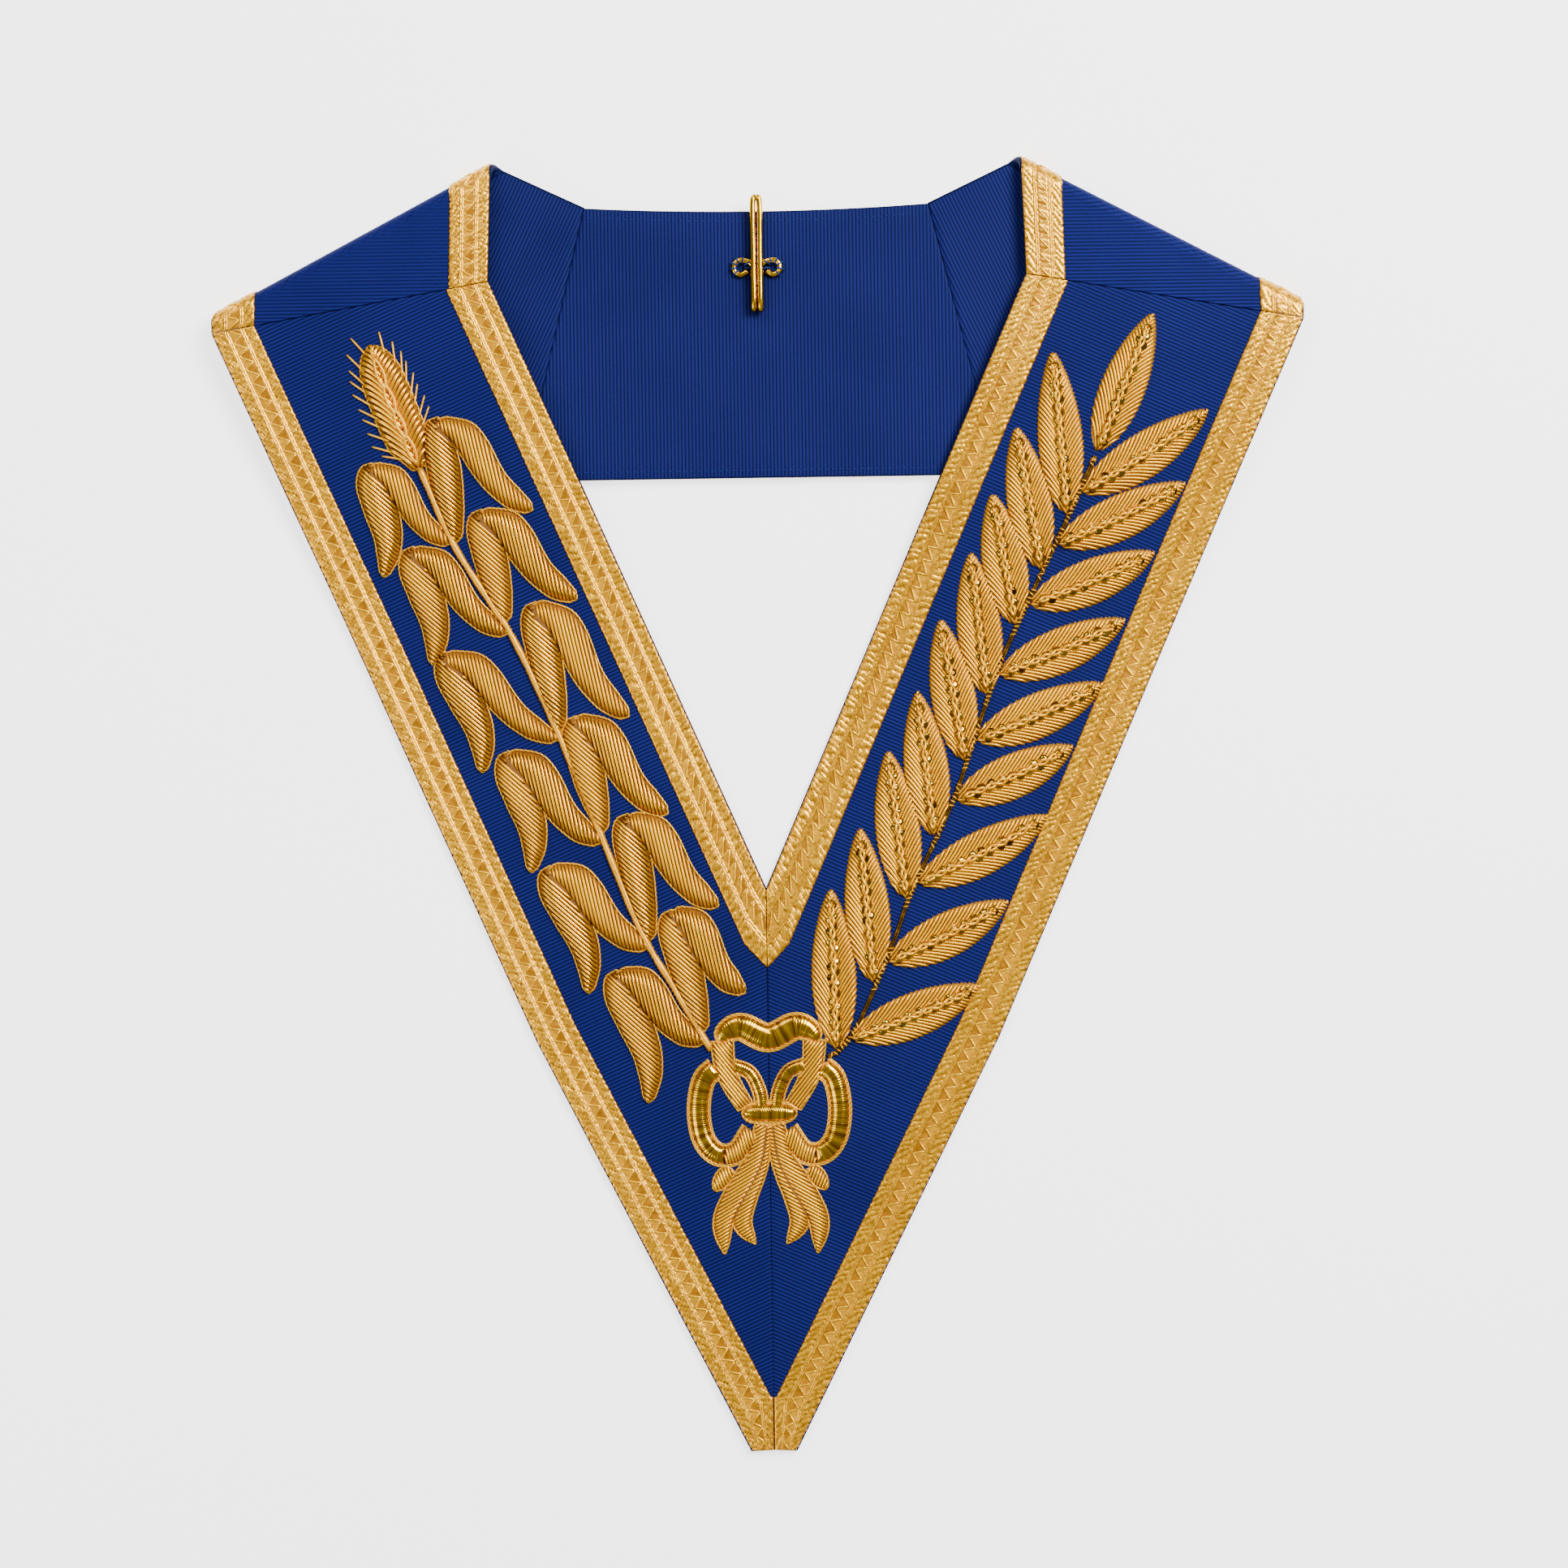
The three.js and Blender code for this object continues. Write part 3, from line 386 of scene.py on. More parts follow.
CORD = metal_material(
    "gold_cord", [(0.26, 0.095, 0.0003), (0.95, 0.45, 0.001), (1.1, 0.66, 0.008)],
    roughness=0.36, metallic=0.6, grain=2600.0, relief=0.3, dimmest=0.7)
# The padding under the wires is coloured very dark: painted shade where it shows in the gaps between wires.
SHADED_FELT = metal_material(
    "gold_felt", [(0.1, 0.03, 0.001), (0.22, 0.08, 0.002), (0.3, 0.12, 0.004)],
    roughness=0.8, metallic=0.0, grain=1500.0, relief=0.6, dimmest=0.6)
TWIG = metal_material(
    "dark_twig", [(0.05, 0.02, 0.001), (0.35, 0.17, 0.006), (0.8, 0.45, 0.03)],
    roughness=0.36, metallic=1.0, grain=1500.0, relief=0.6, dimmest=0.5)
# Each plate's dark and light are painted reflections, laid in streaks at right angles to its run; each sequin
# gets one of them at random.
PLATE = plate_material("gold_plate", dark=(0.34, 0.14, 0.002), light=(1.0, 0.56, 0.02), roughness=0.16)
SEQUIN = plate_material("gold_sequin", dark=(0.09, 0.04, 0.004), light=(0.75, 0.45, 0.05), roughness=0.1)
BRASS = plate_material("hook_brass", dark=(0.55, 0.28, 0.003), light=(0.95, 0.56, 0.012), roughness=0.16)


# Meshes

class Shape:
    """Gathers closed shells into one mesh, with a material and two values at every point."""

    def __init__(self):
        self.points = []
        self.crown = []
        self.run = []
        self.faces = []
        self.slots = []
        self.count = 0

    def loft(self, rings, slot=0, crown=1.0, run=0.0, side_slots=None):
        """A closed shell from rings with the same number of points, capped at both ends."""
        rings = np.asarray(rings, float)
        count, size = rings.shape[:2]
        total = count * size
        faces = []
        for here in range(0, total - size, size):
            for side in range(size):
                after = (side + 1) % size
                faces.append((here + side, here + after, here + size + after, here + size + side))
        faces.append(tuple(range(size - 1, -1, -1)))
        faces.append(tuple(range(total - size, total)))
        if facing(rings) < 0:
            faces = [face[::-1] for face in faces]
        self.faces.extend([tuple(corner + self.count for corner in face) for face in faces])
        if side_slots is None:
            side_slots = [slot] * size
        self.slots.extend([*side_slots] * (count - 1) + [slot, slot])
        self.points.append(rings.reshape(-1, 3))
        for values, given in ((self.crown, crown), (self.run, run)):
            given = np.asarray(given, float)
            values.append(np.broadcast_to(given.reshape(-1) if given.ndim else given, total))
        self.count += total

    def tube(self, points, height, radius, sides, slot=0, crown=1.0, run=0.0):
        """A wire whose middle lies over points in plan, at a height."""
        self.loft(tube_rings(on_surface(points, height), radius, sides), slot, crown, run)

    def build(self, name, materials, slot):
        mesh = bpy.data.meshes.new(name)
        points = (np.concatenate(self.points) + [0, TIP_Y, 0]) / 1000
        mesh.from_pydata(points.tolist(), [], self.faces)
        for material in materials:
            mesh.materials.append(material)
        mesh.polygons.foreach_set("material_index", self.slots)
        mesh.polygons.foreach_set("use_smooth", [True] * len(self.faces))
        # The crown value of each point carries its painted light: low for painted shade in hollows and
        # between parts, high for a painted highlight on tops; some parts give it a plain or random value.
        for label, values in (("crown", self.crown), ("run", self.run)):
            layer = mesh.attributes.new(label, "FLOAT", "POINT")
            layer.data.foreach_set("value", np.concatenate(values))
        mesh.update()
        piece = bpy.data.objects.new(name, mesh)
        bpy.context.scene.collection.objects.link(piece)
        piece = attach(piece, "root")
        return piece


def facing(rings):
    """Above 0 where a loft's side faces, in the order that loft() makes them, look outwards."""
    middle = rings.shape[0] // 2
    first, second = rings[middle - 1], rings[middle]
    centre = (first.mean(0) + second.mean(0)) / 2
    after = np.roll(first, -1, axis=0)
    normals = np.cross(after - first, second - first)
    return float((normals * (first - centre)).sum())


def tube_rings(path, radius, sides):
    """Circles along a path, turned as little as can be from one to the next."""
    path = np.asarray(path, float)
    tangents = np.gradient(path, axis=0)
    tangents /= lengths(tangents)[:, None]
    up = np.array([0, 0, 1.0]) if abs(tangents[0][2]) < 0.9 else np.array([1.0, 0, 0])
    ups = np.empty_like(path)
    for place, tangent in enumerate(tangents):
        up = up - tangent * (up @ tangent)
        up /= np.linalg.norm(up)
        ups[place] = up
    sideways = np.cross(tangents, ups)
    angles = np.arange(sides) * 2 * math.pi / sides + math.pi / sides
    radii = np.broadcast_to(np.asarray(radius, float), len(path))
    circle = ups[:, None] * np.cos(angles)[None, :, None] + sideways[:, None] * np.sin(angles)[None, :, None]
    return path[:, None] + circle * radii[:, None, None]


# Cloth

def hatch(polygon, direction, step, inset=0.02):
    """Lines across a convex polygon: their starts, ends and offsets."""
    polygon = np.asarray(polygon, float)
    normal = left_of(direction)
    offsets = polygon @ normal
    low, high = offsets.min() + inset, offsets.max() - inset
    places = np.append(np.arange(low, high, step), high)
    starts, ends = [], []
    for place in places:
        hits = []
        for a, b, p, q in zip(offsets, np.roll(offsets, -1), polygon, np.roll(polygon, -1, axis=0)):
            if (a - place) * (b - place) <= 0 and a != b:
                hits.append((p + (q - p) * (place - a) / (b - a)) @ direction)
        starts.append(direction * min(hits) + normal * place)
        ends.append(direction * max(hits) + normal * place)
    return np.array(starts), np.array(ends), places


def rib_height(phase):
    share = np.abs(np.sin(math.pi * phase))
    return share ** 0.7


def ribbed_rings(starts, ends, phase, level, columns, thickness):
    """Rings of a sheet whose ribs run from start to end, and each point's rib height, which is also its
    painted shade and highlight.
    """
    shares = np.concatenate([[0], np.linspace(HEM_SHARE, 1 - HEM_SHARE, columns - 1), [1]])
    top = starts[:, None] + (ends - starts)[:, None] * shares[None, :, None]
    height = np.repeat(rib_height(phase)[:, None], columns + 1, axis=1)
    height[:, [0, -1]] *= HEM_HEIGHT
    upper = np.dstack([top, level(top[..., 1]) + (thickness / 2 + RIB_RISE * height)])
    low = np.stack([starts, ends], axis=1)
    lower = np.dstack([low, level(low[..., 1]) - thickness / 2])
    rings = np.concatenate([lower[:, :1], upper, lower[:, 1:]], axis=1)
    foot = np.zeros((len(starts), 1))
    return rings, np.concatenate([foot, height, foot], axis=1)


def sheet_piece(name, material, slot, rings, crown):
    shape = Shape()
    shape.loft(rings, crown=crown)
    return shape.build(name, [material], slot)


def flat_level(height):
    return lambda y: np.full(np.shape(y), height)


def make_front_band(side, hand):
    first = BAND_SEAM_INNER - ACROSS * FRONT_HEM
    polygon = [
        first, crossing(first, ALONG, CENTRE_FOOT, plan(0, 1)), CENTRE_FOOT,
        TIP_OUTER + plan(FRONT_HEM, -FRONT_HEM), KNEE + ACROSS * FRONT_HEM,
        BAND_SEAM_OUTER + ACROSS * FRONT_HEM,
    ]
    starts, ends, places = hatch(polygon, ACROSS, RIB_STEP)
    rings, crown = ribbed_rings(starts, ends, places / RIB_PITCH, front_level, 20, CLOTH_THICKNESS)
    piece = sheet_piece(f"front_ribbon_{hand}", RIBBON, "ribbon", mirror(rings, side), crown)
    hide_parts(f"front_band_{hand}")


SHOULDER_FROM = SEAM_INNER + SHOULDER_ALONG * SEAM_GAP / 2
SHOULDER_TO = SEAM_OUTER + SHOULDER_ALONG * SEAM_GAP / 2
FOLD_AXIS = FOLD_INNER - FOLD_OUTWARD * (FOLD_RADIUS + HALF_CLOTH)
AXIS_INNER = crossing(SHOULDER_FROM, SHOULDER_ALONG, FOLD_AXIS, FOLD_LINE)
AXIS_OUTER = crossing(SHOULDER_TO, SHOULDER_ALONG, FOLD_AXIS, FOLD_LINE)
LINING_THICKNESS = 0.2
LINING_GAP = 0.02
LINING_INSET = 0.4
# How far an edge slips along the fold for each millimetre that it goes round it
FOLD_SLIP = FOLD_LINE * (SHOULDER_ALONG @ FOLD_LINE) / (SHOULDER_ALONG @ FOLD_OUTWARD)
BACK_SLIP = FOLD_SLIP * math.pi * FOLD_RADIUS


def leaning(lean, rise):
    """A normal from its parts outwards from the fold and up."""
    return np.array([*(FOLD_OUTWARD * lean), rise])


def shoulder_lines(front_steps, fold_steps, back_steps):
    """Rows from the seam up to the fold, round it and back below: ends, level, normal and unfolded height."""
    lines = []
    for step in range(front_steps):
        share = step / front_steps
        start, end = lerp(SHOULDER_FROM, AXIS_INNER, share), lerp(SHOULDER_TO, AXIS_OUTER, share)
        lines.append((start, end, SHOULDER_LEVEL, leaning(0, 1), 0.0))
    for step in range(fold_steps + 1):
        turn = math.pi * step / fold_steps
        sine, cosine = math.sin(turn), math.cos(turn)
        arc = FOLD_RADIUS * turn
        push = FOLD_OUTWARD * FOLD_RADIUS * sine + FOLD_SLIP * arc
        level = BACK_LEVEL + FOLD_RADIUS + FOLD_RADIUS * cosine
        unfolded = FOLD_OUTWARD[1] * (arc - FOLD_RADIUS * sine)
        lines.append((AXIS_INNER + push, AXIS_OUTER + push, level, leaning(sine, cosine), unfolded))
    for step in range(1, back_steps + 1):
        share = step / back_steps
        start = lerp(AXIS_INNER + BACK_SLIP, BACK_INNER, share)
        end = lerp(AXIS_OUTER + BACK_SLIP, BACK_OUTER, share)
        lines.append((start, end, BACK_LEVEL, leaning(0, -1), 0.0))
    return lines


def make_shoulder(side, hand):
    front_steps, fold_steps, columns = 110, 28, 100
    shares = np.linspace(-SHOULDER_HEM, 1 + SHOULDER_HEM, columns + 1)
    lines = shoulder_lines(front_steps, fold_steps, 10)
    rings, crowns = [], []
    for number, (start, end, level, normal, unfolded) in enumerate(lines):
        top = start + (end - start) * shares[:, None]
        height = rib_height((top[:, 1] + unfolded) / RIB_PITCH)
        if number > front_steps + fold_steps:
            height = np.full_like(height, 0.6)
        height[[0, -1]] *= HEM_HEIGHT
        surface = np.column_stack([top, np.full(len(top), level)])
        upper = surface + normal * (HALF_CLOTH + RIB_RISE * height)[:, None]
        lower = surface - normal * HALF_CLOTH
        rings.append(np.vstack([lower[:1], upper, lower[-1:], lower[-2:0:-12]]))
        extra = len(rings[-1]) - len(upper) - 1
        # The rib height is also the painted shade and highlight of the face; the other points get a flat 0.4.
        crowns.append(np.concatenate([[0.4], height, np.full(extra, 0.4)]))
    piece = sheet_piece(f"shoulder_ribbon_{hand}", RIBBON, "ribbon", mirror(rings, side), crowns)
    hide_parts(f"shoulder_{hand}")


def make_shoulder_lining(side, hand):
    polygon = [AXIS_INNER + BACK_SLIP, BACK_INNER - NECK_LINE * 0.3, BACK_OUTER, AXIS_OUTER + BACK_SLIP]
    starts, ends, places = hatch(polygon, left_of(NECK_LINE), RIB_STEP, LINING_INSET)
    level = flat_level(BACK_LEVEL + HALF_CLOTH + LINING_THICKNESS / 2 + LINING_GAP)
    rings, crown = ribbed_rings(starts, ends, places / RIB_PITCH, level, 10, LINING_THICKNESS)
    piece = sheet_piece(f"shoulder_lining_{hand}", LINING, "lining_ribbon", mirror(rings, side), crown)


# The soft dent below the hook
DENT_DEPTH = 0.3
DENT_WIDTH = 3.0
DENT_LENGTH = 42


def make_back_panel():
    half_top, half_foot = BACK_INNER[0], BACK_OUTER[0]
    columns = np.arange(-half_foot + 0.1, half_foot, RIB_STEP)
    starts, ends = [], []
    for x in columns:
        share = min(abs(x) / half_top, 1)
        top = BACK_INNER[1] - NECK_SAG * (1 - share**2) + BACK_HEM
        if abs(x) > half_top:
            top = lerp(BACK_INNER[1], BACK_OUTER[1], (abs(x) - half_top) / (half_foot - half_top))
        starts.append((x, BACK_OUTER[1] - BACK_HEM))
        ends.append((x, max(top, BACK_OUTER[1])))
    rings, crown = ribbed_rings(
        np.array(starts), np.array(ends), columns / RIB_PITCH, flat_level(BACK_LEVEL), 18, CLOTH_THICKNESS)
    dent = np.exp(-(rings[..., 0] / DENT_WIDTH) ** 2) * (rings[..., 1] > BACK_INNER[1] - DENT_LENGTH)
    rings[:, 1:-1, 2] -= DENT_DEPTH * dent[:, 1:-1]
    piece = sheet_piece("back_ribbon", LINING, "lining_ribbon", rings, crown)
    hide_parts("back_panel")


# Lace

ZIGZAG_PERIOD = 5.4
ZIGZAG_REACH = 0.125
ZIGZAG_RADIUS = 0.38
ZIGZAG_LIFT = 0.44
# Places across the lace, as shares of its width from the nearer edge: border, cords and field
BORDER_END = 0.26
CORD_START = 0.265
CORD_END = 0.36
FIELD_START = 0.366
LACE_OVERHANG = 0.3
LACE_INSET = 0.35
LACE_RAGGED = 0.45
LACE_BASE = 0.35
LACE_RELIEF = 0.75
LACE_SEAT = 0.1
LACE_STEP = 0.62
# How far the lace's own edges are drawn in beside its neighbours
FRONT_INSET = 0.5
WRAP_INSET = 1.4
LACE_SPANS = [
    (0, 0.25, 7), (CORD_START, CORD_END, 7), (0.375, 0.625, 9), (1 - CORD_END, 1 - CORD_START, 7),
    (0.75, 1, 7),
]
LACE_COLUMNS = np.concatenate([np.linspace(*span) for span in LACE_SPANS])
# Material of each side of a lace's rings: foil in the field, thread elsewhere
FIELD_SIDES = [0] + [int(CORD_END < share < 0.63) for share in LACE_COLUMNS[:-1]] + [0, 0]
UPWARD = np.array([0, 0, 1.0])


def zigzag(run):
    return 0.5 + ZIGZAG_REACH * (np.abs((run / ZIGZAG_PERIOD) % 1 * 2 - 1) * 2 - 1)


def lace_zones(share, border, cord, field):
    near = np.minimum(share, 1 - share)
    return np.where(near < BORDER_END, border, np.where(near < FIELD_START, cord, field))


def lace_height(share, run):
    """Height of woven lace over its backing, from 0 to 1, by its place across and along."""
    near = np.minimum(share, 1 - share)
    coarse = np.sin(run * 2.3 + share * 34 + 1.5 * np.sin(run * 0.7))
    crinkle = 0.6 * coarse + 0.4 * np.sin(run * 4.1 - share * 52)
    rough = 0.5 + 0.46 * crinkle + 0.24 * (RANDOM.random(share.shape) - 0.5)
    cord_share = np.abs((near - CORD_START) / (CORD_END - CORD_START) * 2 % 1 - 0.5)
    twist = 0.1 * np.sin(run * 2 * math.pi / 1.5 + share * 90)
    cord = 0.95 - 2.2 * cord_share**2 + twist
    tilt = (run / ZIGZAG_PERIOD * 2) % 1 - 0.5
    field = 0.5 + 0.3 * tilt * np.sign(share - zigzag(run)) + 0.06 * RANDOM.random(share.shape)
    return np.where(near < 0.01, 0.15, lace_zones(share, rough, cord, field))


def lace_shade_and_glint(share, run, height):
    """Painted light on the lace, from 0 to 1: shade and highlight by its height in the borders and cords; in
    the field, painted glints that make the triangles on one side of the zigzag lighter than on the other,
    swelling and fading along the run.
    """
    side = np.sign(share - zigzag(run))
    facet_glint = 0.42 + 0.16 * side * math.sin(run * 0.37 + 1.0) ** 2 + 0.12 * side
    return lace_zones(share, height, 0.68 * height, facet_glint)


def lace_rings(lines, run, insets):
    """Rings of a lace from rows of two ends, the level of its base, and its normal."""
    rings, crowns = [], []
    shares = LACE_COLUMNS
    drawn_in = []
    for inset, pace in zip(insets, (2.7, 2.4)):
        ragged = LACE_RAGGED * (0.35 + 0.3 * np.sin(run * pace) + 0.35 * RANDOM.random(len(run)))
        inset = np.broadcast_to(inset, len(run))
        drawn_in.append(inset + ragged * (inset != 0))
    for number, (start, end, level, normal) in enumerate(lines):
        width = np.linalg.norm(end - start)
        low = drawn_in[0][number] / width
        high = 1 - drawn_in[1][number] / width
        across = low + (high - low) * shares
        top = start + (end - start) * across[:, None]
        base = level(top[:, 1]) if callable(level) else np.full(len(top), level)
        height = lace_height(shares, np.full(len(shares), run[number]))
        surface = np.column_stack([top, base])
        upper = surface + normal * (LACE_BASE + LACE_RELIEF * height)[:, None]
        rings.append(np.vstack([surface[:1], upper, surface[-1:]]))
        # Both base points at the edges get 0: painted shade along the lace's sides.
        crowns.append(np.concatenate([[0], lace_shade_and_glint(shares, run[number], height), [0]]))
    return np.array(rings), np.array(crowns)


def lay_zigzag(shape, rings, run, side):
    """A raised thread that zigzags between the cords of a lace."""
    points = []
    for stop in np.arange(0, run[-1], ZIGZAG_PERIOD / 6):
        place = np.interp(stop, run, np.arange(len(run)))
        low = min(int(place), len(run) - 2)
        first, last = lerp(rings[low], rings[low + 1], place - low)[[1, len(LACE_COLUMNS)]]
        normal = unit(rings[low, 1] - rings[low, 0])
        points.append(lerp(first, last, zigzag(stop)) + normal * ZIGZAG_LIFT)
    # With no crown given, the thread takes the lace's lightest colour all over: a painted highlight.
    shape.loft(mirror(tube_rings(np.array(points), ZIGZAG_RADIUS, 5), side))


def between(corners, step):
    """Rows between two outlines with the same corners, a step apart at their middles."""
    rows = []
    for (a, b), (c, d) in zip(corners, corners[1:]):
        middle = np.linalg.norm((c + d) / 2 - (a + b) / 2)
        reach = max(middle, 0.5 * max(np.linalg.norm(c - a), np.linalg.norm(d - b)))
        count = max(2, int(round(reach / step)))
        rows += [(lerp(a, c, k / count), lerp(b, d, k / count)) for k in range(count)]
    rows.append(corners[-1])
    return rows


def run_of(rows):
    return distances(np.array([(a + b) / 2 for a, b in rows]))


def lace_piece(name, node, side, lines, run, insets):
    rings, crown = lace_rings(lines, run, insets)
    shape = Shape()
    shape.loft(mirror(rings, side), crown=crown, side_slots=FIELD_SIDES)
    lay_zigzag(shape, rings, run, side)
    piece = shape.build(name, [LACE, FOIL], "gold_lace")
    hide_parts(node)


def front_lace(edge, side, hand, rows, insets):
    lines = [(a, b, lambda y: front_level(y) + HALF_CLOTH + LACE_SEAT, UPWARD) for a, b in rows]
    lace_piece(f"lace_ribbon_{edge}_{hand}", f"lace_front_{edge}_{hand}", side, lines, run_of(rows), insets)


def make_front_laces(side, hand):
    seam_direction = unit(SEAM_OUTER - SEAM_INNER)
    offset = NOTCH + ACROSS * LACE_WIDTH
    top = crossing(BAND_SEAM_INNER, seam_direction, offset, ALONG)
    bend = offset + ALONG * (LACE_POINT_REACH / 2 - LACE_POINT_DROP)
    lace_point = plan(SEAM_GAP / 2, NOTCH_HEIGHT - LACE_POINT_DROP)
    inner_bend = NOTCH + ALONG * LACE_WIDTH / 2
    rows = between([(BAND_SEAM_INNER, top), (inner_bend, bend), (NOTCH, lace_point)], LACE_STEP)
    front_lace("inner", side, hand, rows, (-LACE_OVERHANG, FRONT_INSET))
    lower_line = unit(TIP_OUTER - KNEE)
    inward = plan(lower_line[1], -lower_line[0])
    upper_edge = KNEE - ACROSS * LACE_WIDTH
    lower_edge = KNEE + inward * LACE_WIDTH
    top = crossing(BAND_SEAM_OUTER, seam_direction, upper_edge, ALONG)
    bend = crossing(upper_edge, ALONG, lower_edge, lower_line)
    meeting = crossing(lower_edge, lower_line, TIP_INNER, plan(0, 1))
    opposite = meeting - inward * LACE_WIDTH
    corners = [(top, BAND_SEAM_OUTER), (bend, KNEE), (meeting, opposite), (TIP_INNER, TIP_OUTER)]
    rows = between(corners, LACE_STEP)
    meets = np.array([a[0] < TIP_INNER[0] + 0.01 for a, _ in rows])
    front_lace("outer", side, hand, rows, (np.where(meets, 0, FRONT_INSET), -LACE_OVERHANG))


def lace_share(start, end, run):
    """Share of a row that a lace takes where the edge runs as given."""
    reach = end - start
    length = np.linalg.norm(reach)
    return LACE_WIDTH / math.sqrt(max(0.1, 1 - float(reach @ unit(run) / length) ** 2)) / length


def edge_part(start, end, share, outer):
    """The share of a row that lies at its outer end, or at its start."""
    low, high = (1 - share, 1.0) if outer else (0.0, share)
    return lerp(start, end, low), lerp(start, end, high)


def shoulder_lace_lines(outer, counts):
    """Rows of the lace along one edge of a shoulder, of one width all the way round the fold."""
    seam, axis = (SHOULDER_TO, AXIS_OUTER) if outer else (SHOULDER_FROM, AXIS_INNER)
    back = BACK_OUTER if outer else BACK_INNER
    turned = lace_share(AXIS_INNER, AXIS_OUTER, axis - seam)
    final = lace_share(BACK_INNER, BACK_OUTER, back - axis - BACK_SLIP)
    shares = [lace_share(SHOULDER_FROM, SHOULDER_TO, axis - seam), turned, turned, final]
    places = [k + step / count for k, count in enumerate(counts) for step in range(count)] + [3]
    base = HALF_CLOTH + LACE_SEAT
    found, middles = [], []
    for place, (start, end, level, normal, _) in zip(places, shoulder_lines(*counts)):
        share = np.interp(place, [0, 1, 2, 3], shares)
        first, last = edge_part(start, end, share, outer)
        push = normal[:2] * base
        found.append((first + push, last + push, level + normal[2] * base, normal))
        middles.append([*((first + last) / 2 + push), level + normal[2] * base])
    return found, distances(middles)


def make_shoulder_laces(side, hand):
    edges = ((False, "inner", 84, (0.0, WRAP_INSET)), (True, "outer", 8, (LACE_INSET, 0.0)))
    for outer, edge, front_steps, insets in edges:
        lines, run = shoulder_lace_lines(outer, (front_steps, 18, 110))
        lace_piece(f"lace_wrap_{edge}_{hand}", f"lace_shoulder_{edge}_{hand}", side, lines, run, insets)


def make_back_laces():
    half_top, half_foot = BACK_INNER[0] - SEAM_GAP, BACK_OUTER[0] - SEAM_GAP
    base = BACK_LEVEL - HALF_CLOTH - LACE_SEAT
    for outer, edge in ((False, "neck"), (True, "outer")):
        rows = []
        for share in np.linspace(-1, 1, 160):
            start = plan(half_top * share, BACK_INNER[1] - NECK_SAG * (1 - share**2))
            end = plan(half_foot * share, BACK_OUTER[1])
            rows.append(edge_part(start, end, lace_share(start, end, plan(1, 0)), outer))
        lines = [(first, last, base, -UPWARD) for first, last in rows]
        name, node = f"lace_under_{edge}", f"lace_back_{edge}"
        lace_piece(name, node, 1, lines, run_of(rows), (LACE_INSET, LACE_INSET))


# Embroidery: regions of padding filled with wires

# Places in a piece's list of materials
BRIGHT, ROUGH, EDGING, PAD, SHINY = 0, 1, 2, 3, 4
GOLD = [PURL, ROUGH_PURL, CORD, SHADED_FELT]


class Region:
    """A padded band along a path in plan, domed towards its middle."""

    def __init__(self, path, half, crown, fall):
        self.path = path
        self.half = half
        self.left, self.right = edges_of(path, half)
        self.outline = enclose(self.left, self.right)
        self.crown = crown
        self.fall = fall

    def inwards(self, points):
        """How far in from the outline points are, from 0 to 1 on the top of the dome."""
        start = self.outline
        leg = np.roll(start, -1, axis=0) - start
        gap = points[:, None] - start[None]
        share = np.clip((gap * leg).sum(2) / np.maximum((leg * leg).sum(1), 1e-9), 0, 1)
        depth = np.linalg.norm(gap - leg * share[..., None], axis=2).min(1)
        return np.clip(depth / self.fall, 0, 1)

    def height(self, points):
        return self.crown * np.sqrt(1 - (1 - self.inwards(points)) ** 2)

    def top(self, points):
        return face_level(points) + self.height(points)


def inside(outline, points):
    x, y = points[:, :1], points[:, 1:]
    a, b = outline, np.roll(outline, -1, axis=0)
    spans = (a[:, 1] > y) != (b[:, 1] > y)
    rise = np.where(b[:, 1] == a[:, 1], 1e-9, b[:, 1] - a[:, 1])
    left = x < (b[:, 0] - a[:, 0]) * (y - a[:, 1]) / rise + a[:, 0]
    return (spans & left).sum(1) % 2 == 1


def crossings(outline, direction, offset):
    a = outline @ left_of(direction) - offset
    b = np.roll(a, -1)
    hit = (a > 0) != (b > 0)
    p, q = outline[hit], np.roll(outline, -1, axis=0)[hit]
    share = (a[hit] / (a[hit] - b[hit]))[:, None]
    return np.sort((p + (q - p) * share) @ direction)


def without(span, holes):
    """What is left of a span once the holes are cut from it."""
    left = [span]
    for low, high in holes:
        cut = []
        for a, b in left:
            if high <= a or low >= b:
                cut.append((a, b))
                continue
            if low > a:
                cut.append((a, low))
            if high < b:
                cut.append((high, b))
        left = cut
    return left


def pairs(values):
    return [(values[k], values[k + 1]) for k in range(0, len(values) - 1, 2)]


WIRE_PITCH = 1.28
WIRE_RADIUS = 0.57
SHORTEST_WIRE = 1.1
# Tone of the sides of a wire, from its top round to its top
WIRE_SHADE = np.array([1.0, 0.12, 0.0, 0.0, 0.12, 1.0])


def fill(shape, region, area, angle, slot, holes=(), pitch=WIRE_PITCH, bow=0.0, radius=WIRE_RADIUS):
    """Lays wires side by side over a region, inside area, at an angle in degrees."""
    direction = pointing(math.radians(angle))
    normal = left_of(direction)
    offsets = area @ normal
    place = offsets.min() + pitch * 0.5
    while place < offsets.max():
        cuts = [pair for hole in holes for pair in pairs(crossings(hole, direction, place))]
        for span in pairs(crossings(area, direction, place)):
            for low, high in without(span, cuts):
                if high - low > SHORTEST_WIRE:
                    lay_wire(shape, region, direction, normal, place, low, high, slot, bow, radius)
        place += pitch


